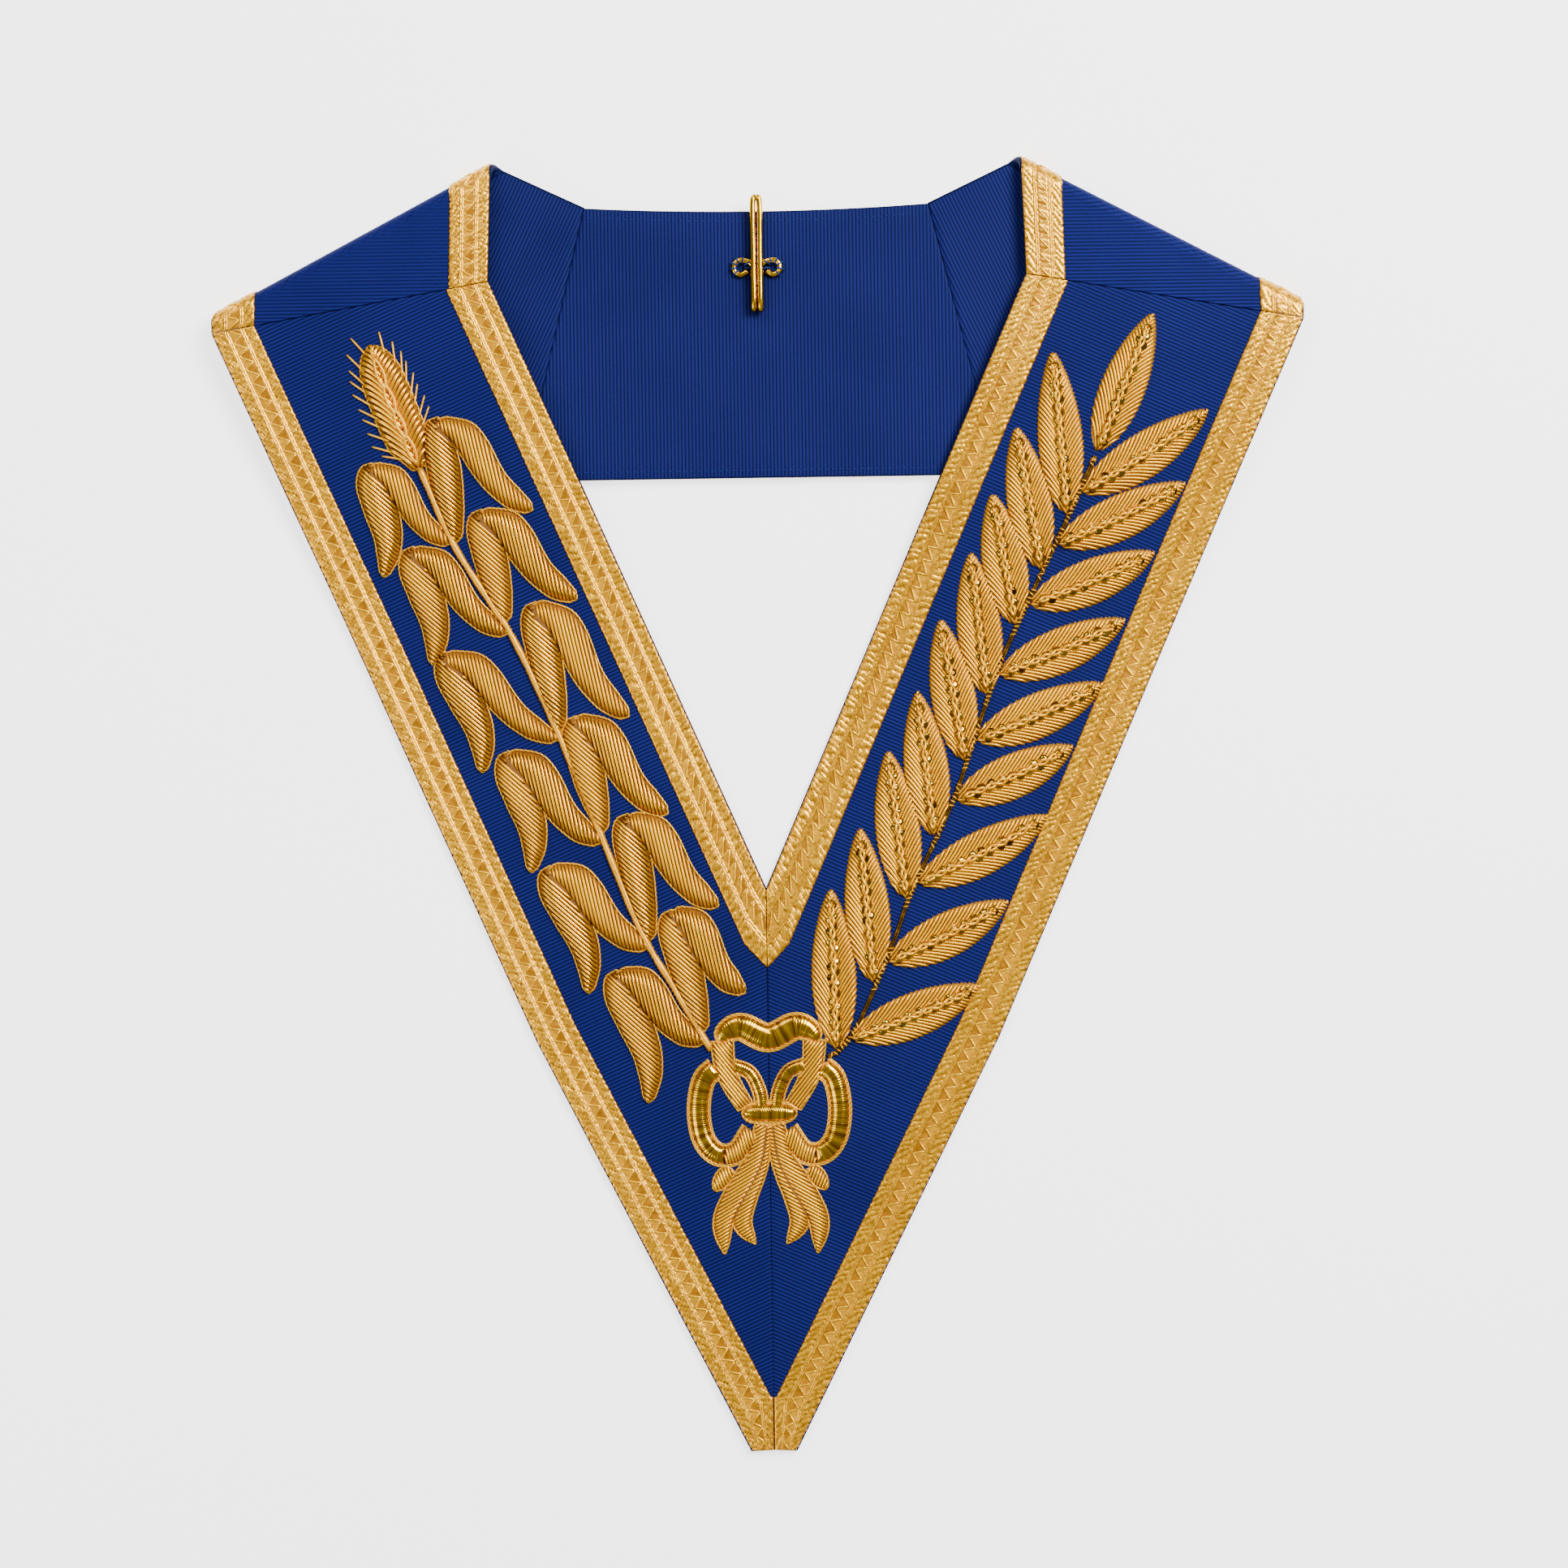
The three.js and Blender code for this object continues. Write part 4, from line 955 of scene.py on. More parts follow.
def lay_wire(shape, region, direction, normal, place, low, high, slot, bow, radius):
    steps = int(min(9, max(5, (high - low) / 1.6)))
    share = (1 - np.cos(np.linspace(0, math.pi, steps))) / 2
    share = 0.5 * share + 0.5 * np.linspace(0, 1, steps)
    points = direction * (low + (high - low) * share)[:, None] + normal * place
    points = points + normal * (bow * 4 * share * (1 - share))[:, None]
    height = region.top(points) + radius * 0.45
    height[[0, -1]] -= radius * 0.3
    radii = np.full(steps, radius * (0.97 + 0.06 * RANDOM.random()))
    radii[[0, -1]] *= 0.7
    # Painted shade: each wire is darker near the dome's edge and lighter over its top, a little darker on
    # taller domes, with a random share of its own; WIRE_SHADE darkens its sides.
    tone = 0.72 - 0.14 * region.crown + 0.55 * region.inwards(points) + 0.2 * RANDOM.random()
    shape.tube(points, height, radii, 6, slot, tone[:, None] * WIRE_SHADE)


def add_dome(shape, region, slot=PAD, shrink=0.94, drop=0.12, crown=0.5, run_scale=0.0):
    """The domed base under the wires, or a bright plate where run_scale is set."""
    left, right = edges_of(region.path, region.half * shrink)
    shares = (1 - np.cos(np.linspace(0, math.pi, 11))) / 2
    run = np.linspace(0, length_of(region.path), len(left)) * run_scale
    rings = []
    for a, b in zip(left, right):
        top = a + (b - a) * shares[:, None]
        height = face_level(top) + np.maximum(region.height(top) - drop, 0.05)
        low = on_surface(top[[-1, 0]], face_level(top[[-1, 0]]) - 0.05)
        rings.append(np.vstack([on_surface(top, height), low]))
    shape.loft(rings, slot, crown, np.repeat(run, len(rings[0])))


CORD_RADIUS = 0.42
THIN_CORD = 0.34
CORD_STEP = 0.5
CORD_TWIST = 1.9


def add_cord(shape, line, closed=True, radius=CORD_RADIUS, lift=0.0):
    """A two-ply cord along a line in plan, laid on the band's face."""
    if closed:
        line = np.vstack([line, line[:1]])
    count = max(4, int(length_of(line) / CORD_STEP))
    line = evenly(line, count)
    rings = tube_rings(on_surface(line, face_level(line) + radius * 0.85 + lift), radius, 6)
    centres = rings.mean(1, keepdims=True)
    run = np.linspace(0, length_of(line), count)
    angles = np.arange(6) * math.pi / 3
    swell = 1 + 0.16 * np.cos(2 * (angles[None] - run[:, None] * math.pi / CORD_TWIST))
    rings = centres + (rings - centres) * swell[..., None]
    # Painted shade in the hollows between the plies, and a painted highlight on their swells.
    shape.loft(rings, EDGING, crown=np.clip((swell - 0.84) / 0.32, 0, 1))


def free_cord(shape, line, hidden):
    """A cord along the part of a closed line that lies outside another outline."""
    free = ~inside(hidden, line)
    start = int(np.argmax(free & ~np.roll(free, 1)))
    line, free = np.roll(line, -start, axis=0), np.roll(free, -start)
    add_cord(shape, line[free], closed=bool(free.all()))


def padded_piece(shape, name, node, slot="gold_purl", materials=GOLD):
    piece = shape.build(name, materials, slot)
    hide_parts(node)


def leaf_profile(t):
    return max(0.04, math.sin(math.pi * t**0.84) ** 0.66)


def on_band(side, along, across):
    place = NOTCH + ALONG * (along * BAND_LENGTH) + ACROSS * (across * RIBBON_WIDTH)
    return plan(side * place[0], place[1])


def on_bow(side, across, up):
    foot = NOTCH_HEIGHT - BOW_DROP - BOW_HEIGHT
    return plan(side * across * BOW_WIDTH / 2, foot + up * BOW_HEIGHT)


def bow_join(across, up):
    reach = on_bow(1, across, up) - NOTCH
    return (reach @ ALONG / BAND_LENGTH, reach @ ACROSS / RIBBON_WIDTH)


# Stops of the stems and the ear: share of the band's length, share of its width
WHEAT_STEM = [
    (0.788, 0.514), (0.67, 0.518), (0.576, 0.489), (0.5, 0.463), (0.355, 0.457), (0.176, 0.47),
    (0.024, 0.483), (-0.08, 0.458), bow_join(0.72, 0.857),
]
ACACIA_STEM = [
    (0.79, 0.495), (0.69, 0.491), (0.58, 0.48), (0.45, 0.472), (0.32, 0.493), (0.23, 0.508), (0.08, 0.497),
    (0, 0.508), (-0.13, 0.506), bow_join(0.885, 0.849), bow_join(0.737, 0.824),
]
EAR_PATH = [(0.79, 0.514), (0.88, 0.507), (0.985, 0.492)]
# Name, side of the stem, apex, free tip, foot on the stem
ARCHES = [
    ("inner_1", -1, (0.84, 0.338), (0.664, 0.202), 0.668),
    ("outer_1", 1, (0.82, 0.638), (0.666, 0.801), 0.67),
    ("inner_2", -1, (0.69, 0.338), (0.516, 0.189), 0.529),
    ("outer_2", 1, (0.682, 0.627), (0.516, 0.772), 0.512),
    ("inner_3", -1, (0.53, 0.292), (0.323, 0.196), 0.346),
    ("outer_3", 1, (0.52, 0.675), (0.338, 0.771), 0.336),
    ("inner_4", -1, (0.35, 0.334), (0.166, 0.214), 0.181),
    ("outer_4", 1, (0.344, 0.619), (0.171, 0.76), 0.168),
    ("inner_5", -1, (0.183, 0.31), (0.008, 0.187), 0.004),
    ("outer_5", 1, (0.163, 0.654), (-0.03, 0.753), -0.005),
    ("inner_6", -1, (0.026, 0.308), (-0.127, 0.229), -0.154),
    ("outer_6", 1, (-0.022, 0.588), (-0.217, 0.719), -0.17),
]
# Name, side of the stem, foot, angle from the band, length as a share of LEAF_LENGTH
LEAVES = [
    ("top", 0, 0.798, -1, 0.99),
    ("inner_1", -1, 0.694, 28, 1.09), ("outer_1", 1, 0.733, 34, 1.0),
    ("inner_2", -1, 0.604, 33, 0.96), ("outer_2", 1, 0.648, 41.5, 0.94),
    ("inner_3", -1, 0.512, 33, 0.89), ("outer_3", 1, 0.549, 44.5, 0.9),
    ("inner_4", -1, 0.399, 29.5, 0.96), ("outer_4", 1, 0.434, 43.5, 0.92),
    ("inner_5", -1, 0.295, 32.5, 0.96), ("outer_5", 1, 0.33, 43, 0.93),
    ("inner_6", -1, 0.172, 29.5, 0.98), ("outer_6", 1, 0.236, 42.5, 0.86),
    ("inner_7", -1, 0.07, 30, 1.0), ("outer_7", 1, 0.098, 39.5, 0.98),
    ("inner_8", -1, -0.065, 28, 1.04), ("outer_8", 1, -0.028, 40.5, 0.9),
    ("inner_9", -1, -0.18, 25, 1.08), ("outer_9", 1, -0.156, 45, 0.94),
]


def stem_across(stem, along):
    table = sorted(stem)
    return float(np.interp(along, [stop[0] for stop in table], [stop[1] for stop in table]))


def bezier(a, b, c, count):
    t = np.linspace(0, 1, count)[:, None]
    return a * (1 - t) ** 2 + b * 2 * t * (1 - t) + c * t**2


# Middle lines of the lobes from head to end: share of the reach from the apex, offset outwards, half width
SICKLE_LINE = [
    (-0.03, -0.105, 0.0), (0.06, -0.055, 0.66), (0.188, -0.004, 0.98), (0.32, -0.012, 1.0),
    (0.43, -0.036, 0.97), (0.555, -0.059, 0.88), (0.673, -0.067, 0.8), (0.823, -0.052, 0.72),
    (0.93, -0.024, 0.5), (1.0, 0.0, 0.0),
]
FOOT_LOBE_LINE = [
    (0.0, 0.09, 0.0), (0.09, 0.105, 0.8), (0.2, 0.1, 0.93), (0.4, 0.066, 1.0), (0.578, 0.047, 0.92),
    (0.756, 0.025, 0.72), (0.9, 0.008, 0.46), (1.0, 0.0, 0.0),
]
FREE_LOBE_LINE = [
    (0.0, 0.08, 0.0), (0.09, 0.09, 0.8), (0.2, 0.075, 0.96), (0.43, 0.0, 1.0), (0.63, -0.046, 0.84),
    (0.8, -0.045, 0.66), (0.92, -0.02, 0.42), (1.0, 0.0, 0.0),
]
STRAIGHT_LOBE = 6.0
SICKLE_LOBE = 6.0
LOBE_CROWN = 3.1
# Share of a lobe's half width over which its dome falls to the edge
LOBE_FALL = 0.95
LOBE_RIM = 0.35
RIM_WIRE_ANGLE = -42
NECK_WIRE_ANGLE = -77


def lobe(table, apex, end, outward, half_width):
    """A lobe that reaches from an apex to an end."""
    table = np.asarray(table)
    reach = end - apex
    normal = left_of(reach)
    normal = normal if normal @ outward > 0 else -normal
    stops = apex + reach * table[:, :1] + normal * table[:, 1:2]
    path = spline(stops, 34)
    steps = distances(stops)
    place = np.linspace(0, steps[-1], len(path))
    near = np.minimum(place, steps[-1] - place)
    round_end = np.sqrt(np.clip(1 - (1 - near / half_width) ** 2, 0, 1))
    round_end = np.where(near > half_width, 1, round_end)
    width = np.interp(place, steps[1:-1], table[1:-1, 2])
    half = np.maximum(0.25, half_width * width * round_end)
    return Region(path, half, LOBE_CROWN, half_width * LOBE_FALL)


def rim_around(region):
    """The closed outline of a lobe, a little outside it."""
    tangents = turned_from(region.path)[0]
    path = region.path.copy()
    path[0] -= tangents[0] * LOBE_RIM
    path[-1] += tangents[-1] * LOBE_RIM
    left, right = edges_of(path, region.half + LOBE_RIM)
    left[0] = right[0] = path[0]
    left[-1] = right[-1] = path[-1]
    return enclose(left, right)


# Half width of the sickle lobe, as a share of SICKLE_LOBE, where it isn't whole
NARROW_SICKLES = {"inner_1": 0.88, "outer_1": 0.78, "outer_2": 0.86, "outer_3": 0.9}


def make_arch(name, side, apex, tip, foot):
    offset = side * (STEM_WIDTH / 2 + 0.3) / RIBBON_WIDTH
    foot_point = on_band(-1, foot, stem_across(WHEAT_STEM, foot) + offset)
    tip_point = on_band(-1, *tip)
    apex_point = on_band(-1, *apex)
    neck_end, rim_end = (tip_point, foot_point) if side < 0 else (foot_point, tip_point)
    toward_neck = plan(1, 0.6)
    neck_half = SICKLE_LOBE * NARROW_SICKLES.get(name, 1.0)
    neck = lobe(SICKLE_LINE, apex_point, neck_end, toward_neck, neck_half)
    rim_line = FOOT_LOBE_LINE if side < 0 else FREE_LOBE_LINE
    rim = lobe(rim_line, apex_point, rim_end, -toward_neck, STRAIGHT_LOBE)
    shape = Shape()
    add_dome(shape, neck, shrink=0.95)
    add_dome(shape, rim, shrink=0.95, drop=0.3)
    neck_wire, rim_wire = (ROUGH, BRIGHT) if int(name[-1]) % 2 else (BRIGHT, ROUGH)
    fill(shape, neck, neck.outline, NECK_WIRE_ANGLE, neck_wire)
    fill(shape, rim, rim.outline, RIM_WIRE_ANGLE, rim_wire, holes=[neck.outline])
    around = rim_around(neck)
    add_cord(shape, around, lift=0.15)
    line = rim_around(rim)
    free_cord(shape, evenly(np.vstack([line, line[:1]]), 260)[:-1], around)
    padded_piece(shape, f"arch_{name}", f"arch_leaf_{name}")


LEAF_CROWN = 1.5
LEAF_FALL = 0.45
LEAF_PITCH = 1.15
LEAF_BOW = 0.5
LEAF_WIRE = 0.52
SEQUIN_SPACING = 4.3
STRAND_RADIUS = 0.62
STRAND_SWING = 0.75
# Lengths at a leaf's foot and tip without a midrib
MIDRIB_START = 3.5
MIDRIB_END = 6.0


def fill_halves(shape, region, left_angle, right_angle, slot, pitch, bow, radius):
    """Wires over both halves of a leaf, bowed towards its middle line."""
    left, right = enclose(region.left, region.path), enclose(region.path, region.right)
    fill(shape, region, left, left_angle, slot, pitch=pitch, bow=-bow, radius=radius)
    fill(shape, region, right, right_angle, slot, pitch=pitch, bow=bow, radius=radius)


def make_leaf(name, side, foot, angle, length):
    clearance = side * (TWIG_WIDTH / 2 + 0.2) / RIBBON_WIDTH
    start = on_band(1, foot, stem_across(ACACIA_STEM, foot) + clearance)
    turn = math.radians(angle) * (side or 1)
    direction = ALONG * math.cos(turn) + ACROSS * math.sin(turn)
    end = start + direction * length * LEAF_LENGTH
    bend = lerp(start, end, 0.5) + (ACROSS * LEAF_BEND if side > 0 else 0)
    path = bezier(start, bend, end, 30)
    region = Region(path, widths(path, LEAF_WIDTH / 2, leaf_profile), LEAF_CROWN, LEAF_WIDTH * LEAF_FALL)
    heading = math.degrees(math.atan2(direction[1], direction[0]))
    shape = Shape()
    # The pad is set dark, at crown 0.12: painted shade in the gaps between the leaf's wires.
    add_dome(shape, region, slot=ROUGH, shrink=1.0, drop=0.2, crown=0.12)
    fill_halves(shape, region, heading + 30, heading - 33, ROUGH, LEAF_PITCH, LEAF_BOW, LEAF_WIRE)
    add_midrib(shape, region)
    padded_piece(shape, f"acacia_{name}", f"acacia_leaf_{name}", materials=GOLD + [SEQUIN])


def add_midrib(shape, region):
    """Sequins down the middle of a leaf, held by two crossing strands, with a loop near the tip."""
    reach = length_of(region.path)
    line = evenly(region.path, 61)[int(60 * MIDRIB_START / reach):int(60 * (1 - MIDRIB_END / reach))]
    tangents, sides = turned_from(line)
    run = np.linspace(0, length_of(line), len(line))
    top = region.top(line)
    for sign in (-1, 1):
        wave = np.sin(run * math.pi / SEQUIN_SPACING) * sign
        strand = line + sides * (wave * STRAND_SWING)[:, None]
        height = top + 1.9 + 0.4 * np.cos(run * 2 * math.pi / SEQUIN_SPACING) * sign
        tones = np.broadcast_to(0.8 * WIRE_SHADE, (len(strand), 6))
        shape.tube(strand, height, STRAND_RADIUS, 6, ROUGH, tones)
    for step in range(int(run[-1] / SEQUIN_SPACING * 2)):
        place = min(int((step + 0.5) * SEQUIN_SPACING / 2 / run[-1] * (len(line) - 1)), len(line) - 1)
        sign = 1 if step % 2 else -1
        centre = np.array([*(line[place] + sides[place] * sign * 1.1), top[place] + 1.1])
        tilt = np.array([*(sides[place] * sign * 0.45), 1.0]) + (RANDOM.random(3) - 0.5) * 0.7
        add_sequin(shape, centre, unit(tilt))
    tip = line[-1] + tangents[-1] * 1.0
    angles = np.linspace(-0.75 * math.pi, 0.75 * math.pi, 13)
    loop = tip + (np.cos(angles)[:, None] * tangents[-1] + np.sin(angles)[:, None] * sides[-1]) * 1.7
    shape.tube(loop, region.top(loop) + 1.25, 0.42, 6, SHINY, run=np.repeat(angles * 4, 6))


SEQUIN_RADIUS = 1.5
# Share of a sequin's radius and the height above its centre, for each of its rings
SEQUIN_RINGS = ((0.28, 0.0), (1.0, 0.14), (1.0, 0.24), (0.28, 0.1))


def add_sequin(shape, centre, normal):
    first = unit(np.cross(normal, [0.3, 1, 0.2]))
    second = np.cross(normal, first)
    angles = np.arange(10) * math.pi / 5
    circle = np.cos(angles)[:, None] * first + np.sin(angles)[:, None] * second
    rings = [centre + circle * SEQUIN_RADIUS * scale + normal * lift for scale, lift in SEQUIN_RINGS]
    # A random run gives each sequin its own painted reflection, dark or light.
    shape.loft(rings, SHINY, run=RANDOM.random() * 90)


def stem_piece(shape, name, materials, node):
    piece = shape.build(name, materials, "gold_plate")
    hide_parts(node)


def make_corn_stem():
    path = spline([on_band(-1, *stop) for stop in WHEAT_STEM], 150)
    shape = Shape()
    swell = 1 + 0.1 * np.sin(np.arange(150) * 0.7) + 0.1 * RANDOM.random(150)
    shape.tube(path, face_level(path) + 0.75, STEM_WIDTH * 0.56 * swell, 10, EDGING, 0.45)
    for place in path[2:-2]:
        add_binding(shape, path, place, STEM_WIDTH, 1)
    stem_piece(shape, "corn_stalk", [PURL, ROUGH_PURL, CORD], "wheat_stem")


def make_acacia_stem():
    path = spline([on_band(1, *stop) for stop in ACACIA_STEM], 150)
    shape = Shape()
    tones = 0.2 + 0.3 * (np.arange(900) % 24 < 6)
    for strand in edges_of(path, np.full(150, -TWIG_WIDTH * 0.25)):
        shape.tube(strand, face_level(strand) + 0.5, TWIG_WIDTH * 0.3, 6, crown=tones)
    for _, _, foot, _, _ in LEAVES:
        add_binding(shape, path, on_band(1, foot, stem_across(ACACIA_STEM, foot)), TWIG_WIDTH, 6)
    stem_piece(shape, "leaf_stalk", [TWIG, ROUGH_PURL, CORD], "acacia_stem")


def add_binding(shape, path, place, width, turns):
    """Stitches of yellow thread laid over a stem."""
    nearest = int(np.argmin(lengths(path - place)))
    share = np.linspace(-1, 1, 5)
    for turn in range(turns):
        spot = min(max(nearest + turn - turns // 2, 1), len(path) - 2)
        tangent = unit(path[spot + 1] - path[spot - 1])
        lean = tangent * (RANDOM.random() - 0.5) * 1.4
        points = path[spot] + (left_of(tangent) * width * 0.62 + lean) * share[:, None]
        height = face_level(points) + 0.4 + 1.25 * np.sqrt(np.maximum(1 - share**2, 0.02))
        shape.tube(points, height, 0.28, 5, EDGING, 0.3 + 0.5 * RANDOM.random())


def ear_profile(t):
    foot = min(1.0, 0.35 + 3.2 * t)
    crown = max(0.0, (t - 0.68) / 0.32)
    return max(0.1, foot * math.sqrt(max(0.0, 1 - crown**2.2)) * (0.9 + 0.1 * math.sin(math.pi * t)))


EAR_CROWN = 2.3
EAR_PITCH = 1.55
EAR_BOW = 0.9
EAR_WIRE = 0.8
# Awns: how far they start inside the ear's edge, their lengths, heights over the face and radii
AWN_ROOT = -2.2
AWN_LENGTH = 6.2
AWN_VARIETY = 0.9
AWN_HEIGHTS = np.array([1.5, 1.1, 0.7, 0.55, 0.5, 0.45])
AWN_RADII = np.array([0.4, 0.44, 0.42, 0.4, 0.38, 0.32])


def make_ear():
    path = spline([on_band(-1, *stop) for stop in EAR_PATH], 40)
    half = EAR_WIDTH / 2 * 0.92
    region = Region(path, widths(path, half, ear_profile), EAR_CROWN, half * 0.9)
    shape = Shape()
    add_dome(shape, region)
    axis = unit(path[-1] - path[0])
    heading = math.degrees(math.atan2(axis[1], axis[0]))
    fill_halves(shape, region, heading + 32, heading - 46, BRIGHT, EAR_PITCH, EAR_BOW, EAR_WIRE)
    sides = left_of(axis)
    swing = np.sin(np.linspace(0, math.pi, 15)) * 1.35
    for number in range(4):
        low, high = 0.03 + number * 0.21, 0.29 + number * 0.21
        line = evenly(path[int(low * 39):int(high * 39) + 1], 15)
        for sign in (-1, 1):
            strand = line + sides * (swing * sign)[:, None]
            shape.tube(strand, region.top(strand) + 1.45 + 0.1 * number, 0.55, 6, EDGING, 0.5)
    add_cord(shape, evenly(region.outline, 90), radius=0.4)
    # Each side's edge, number of awns, first and last place on the edge, first and last angle
    awns = ((region.left, 10, 38, 5, 18, 57), (region.right, 8, 37, 12, -10, -42))
    for edge, count, first_spot, last_spot, first, last in awns:
        for share in np.arange(count) / (count - 1):
            spot = edge[int(lerp(first_spot, last_spot, share))]
            angle = math.radians(heading + lerp(first, last, share) + RANDOM.random() * 3)
            reach = AWN_LENGTH + AWN_VARIETY * RANDOM.random()
            points = spot + pointing(angle) * np.linspace(AWN_ROOT, reach, 6)[:, None]
            shape.tube(points, face_level(points) + AWN_HEIGHTS, AWN_RADII, 6, EDGING, 0.6)
    padded_piece(shape, "corn_ear", "wheat_ear")


# Bow

BOW_PITCH = 1.15
BOW_WIRE = 0.52
PLATE_INSET = 0.7
PURL_INSET = 0.3
BOW_FALL = 0.95
PLATE_LOOK = {"slot": SHINY, "shrink": 1.0, "drop": -0.1, "run_scale": 2 * math.pi / 0.85}
# How far outside its edge a plate's two cords lie, and the one cord of a part filled with wires
INNER_CORD = 0.35
OUTER_CORD = 0.95
PURL_CORD = 0.3
# Half width of the arcs beside the knot, and how far from their middle lines their cords lie
ARC_HALF = 2.0
ARC_CORD = 2.5
# Each part's width in millimetres and its stops, in shares of the bow's half width and height
BOW = {
    "bar": (10.0, [
        (-0.63, 0.89), (-0.52, 0.932), (-0.33, 0.95), (0, 0.905), (0.33, 0.95), (0.52, 0.932), (0.63, 0.89),
    ]),
    "ribbon": (8.4, [(0.58, 0.895), (0.55, 0.79), (0.46, 0.71), (0.3, 0.62)]),
    "loop": (8.0, [
        (0.66, 0.785), (0.82, 0.73), (0.885, 0.61), (0.83, 0.49), (0.66, 0.425), (0.42, 0.43), (0.22, 0.52),
    ]),
    "arc": (4.8, [(0.46, 0.792), (0.24, 0.76), (0.12, 0.68), (0.09, 0.6)]),
    "knot": (7.6, [(-0.34, 0.593), (0, 0.593), (0.34, 0.593)]),
    "inner_tail": (8.2, [(0.06, 0.545), (0.13, 0.4), (0.3, 0.25), (0.36, 0.14), (0.2, 0.05)]),
    "outer_tail": (8.2, [(0.1, 0.545), (0.2, 0.4), (0.46, 0.25), (0.6, 0.14), (0.585, 0.01)]),
    "bud": (6.4, [(0.5, 0.365), (0.59, 0.325), (0.7, 0.275)]),
}


def round_profile(t):
    return max(0.2, math.sqrt(max(0.0, 1 - abs(2 * t - 1) ** 4)))


def tail_profile(t):
    return max(0.05, min(1.0, 0.6 + 0.9 * t) * math.cos(math.pi / 2 * t**5))


def bud_profile(t):
    return max(0.08, math.sin(math.pi * min(1.0, 0.12 + t * 0.88)) ** 0.55)


def bow_path(side, part, count):
    return spline([on_bow(side, *stop) for stop in BOW[part][1]], count)


def bow_half(part, inset):
    return BOW[part][0] / 2 - inset


def bow_region(path, half, crown, profile=lambda t: 1.0):
    return Region(path, widths(path, half, profile), crown, half * BOW_FALL)


def bow_piece(shape, name, node, slot):
    padded_piece(shape, name, node, slot, GOLD + [PLATE])


def bow_fill(shape, region, angle, holes=()):
    fill(shape, region, region.outline, angle, ROUGH, holes=holes, pitch=BOW_PITCH, radius=BOW_WIRE)


def add_plate(shape, part, crown, count):
    path = bow_path(1, part, count)
    half = bow_half(part, PLATE_INSET)
    add_dome(shape, bow_region(path, half, crown, round_profile), **PLATE_LOOK)
    add_cord(shape, outline_of(path, half + INNER_CORD, round_profile), lift=0.1)
    add_cord(shape, outline_of(path, half + OUTER_CORD, round_profile), radius=THIN_CORD)


def add_purl_part(shape, side, part, profile, angle, crown, count):
    path = bow_path(side, part, count)
    half = bow_half(part, PURL_INSET)
    region = bow_region(path, half, crown, profile)
    add_dome(shape, region)
    bow_fill(shape, region, angle)
    add_cord(shape, outline_of(path, half + PURL_CORD, profile))


def make_bow_loop(side, hand):
    """A ring of bright plate, whose last third is filled with wires."""
    shape = Shape()
    path = bow_path(side, "loop", 90)
    half = bow_half("loop", PLATE_INSET)
    cut = 66
    add_dome(shape, bow_region(path[:cut], half, 2.0), **PLATE_LOOK)
    link = bow_region(path[cut - 1:], half, 1.3)
    add_dome(shape, link)
    bow_fill(shape, link, 90 - side * 15)
    for offset, radius in ((INNER_CORD, CORD_RADIUS), (OUTER_CORD, THIN_CORD)):
        for edge in edges_of(path, np.full(len(path), half + offset)):
            add_cord(shape, edge, closed=False, radius=radius)
    bow_piece(shape, f"bow_ring_{hand}", f"bow_loop_{hand}", "gold_plate")


def make_bow_tail(side, hand):
    shape = Shape()
    half = bow_half("outer_tail", PURL_INSET)
    paths = [bow_path(side, part, 60) for part in ("outer_tail", "inner_tail")]
    outer, inner = [bow_region(path, half, 1.4, tail_profile) for path in paths]
    add_dome(shape, outer)
    add_dome(shape, inner)
    bow_fill(shape, outer, 90 + side * 60)
    bow_fill(shape, inner, 90 + side * 60, holes=[outer.outline])
    add_cord(shape, outline_of(paths[0], half + PURL_CORD, tail_profile))
    free_cord(shape, evenly(outline_of(paths[1], half + PURL_CORD, tail_profile), 200), outer.outline)
    bow_piece(shape, f"bow_end_{hand}", f"bow_tail_{hand}", "gold_purl")


def make_bow():
    shape = Shape()
    add_plate(shape, "bar", 2.0, 120)
    bow_piece(shape, "bow_bar", "bow_top_bar", "gold_plate")
    shape = Shape()
    add_plate(shape, "knot", 2.3, 40)
    for side in (1, -1):
        path = bow_path(side, "arc", 40)
        add_dome(shape, Region(path, np.full(40, ARC_HALF), 1.2, ARC_HALF * BOW_FALL), **PLATE_LOOK)
        for edge in edges_of(path, np.full(40, ARC_CORD)):
            add_cord(shape, edge, closed=False)
    bow_piece(shape, "bow_middle", "bow_knot", "gold_plate")
    for hand, side in (("left", -1), ("right", 1)):
        shape = Shape()
        add_purl_part(shape, side, "ribbon", lambda t: 1 - 0.25 * t, 90 + side * -38, 1.3, 50)
        bow_piece(shape, f"bow_band_{hand}", f"bow_ribbon_{hand}", "gold_purl")
        make_bow_loop(side, hand)
        make_bow_tail(side, hand)
        shape = Shape()
        add_purl_part(shape, side, "bud", bud_profile, 90 - side * 20, 1.0, 30)
        bow_piece(shape, f"bow_bead_{hand}", f"bow_bud_{hand}", "gold_purl")


# Hook and threads

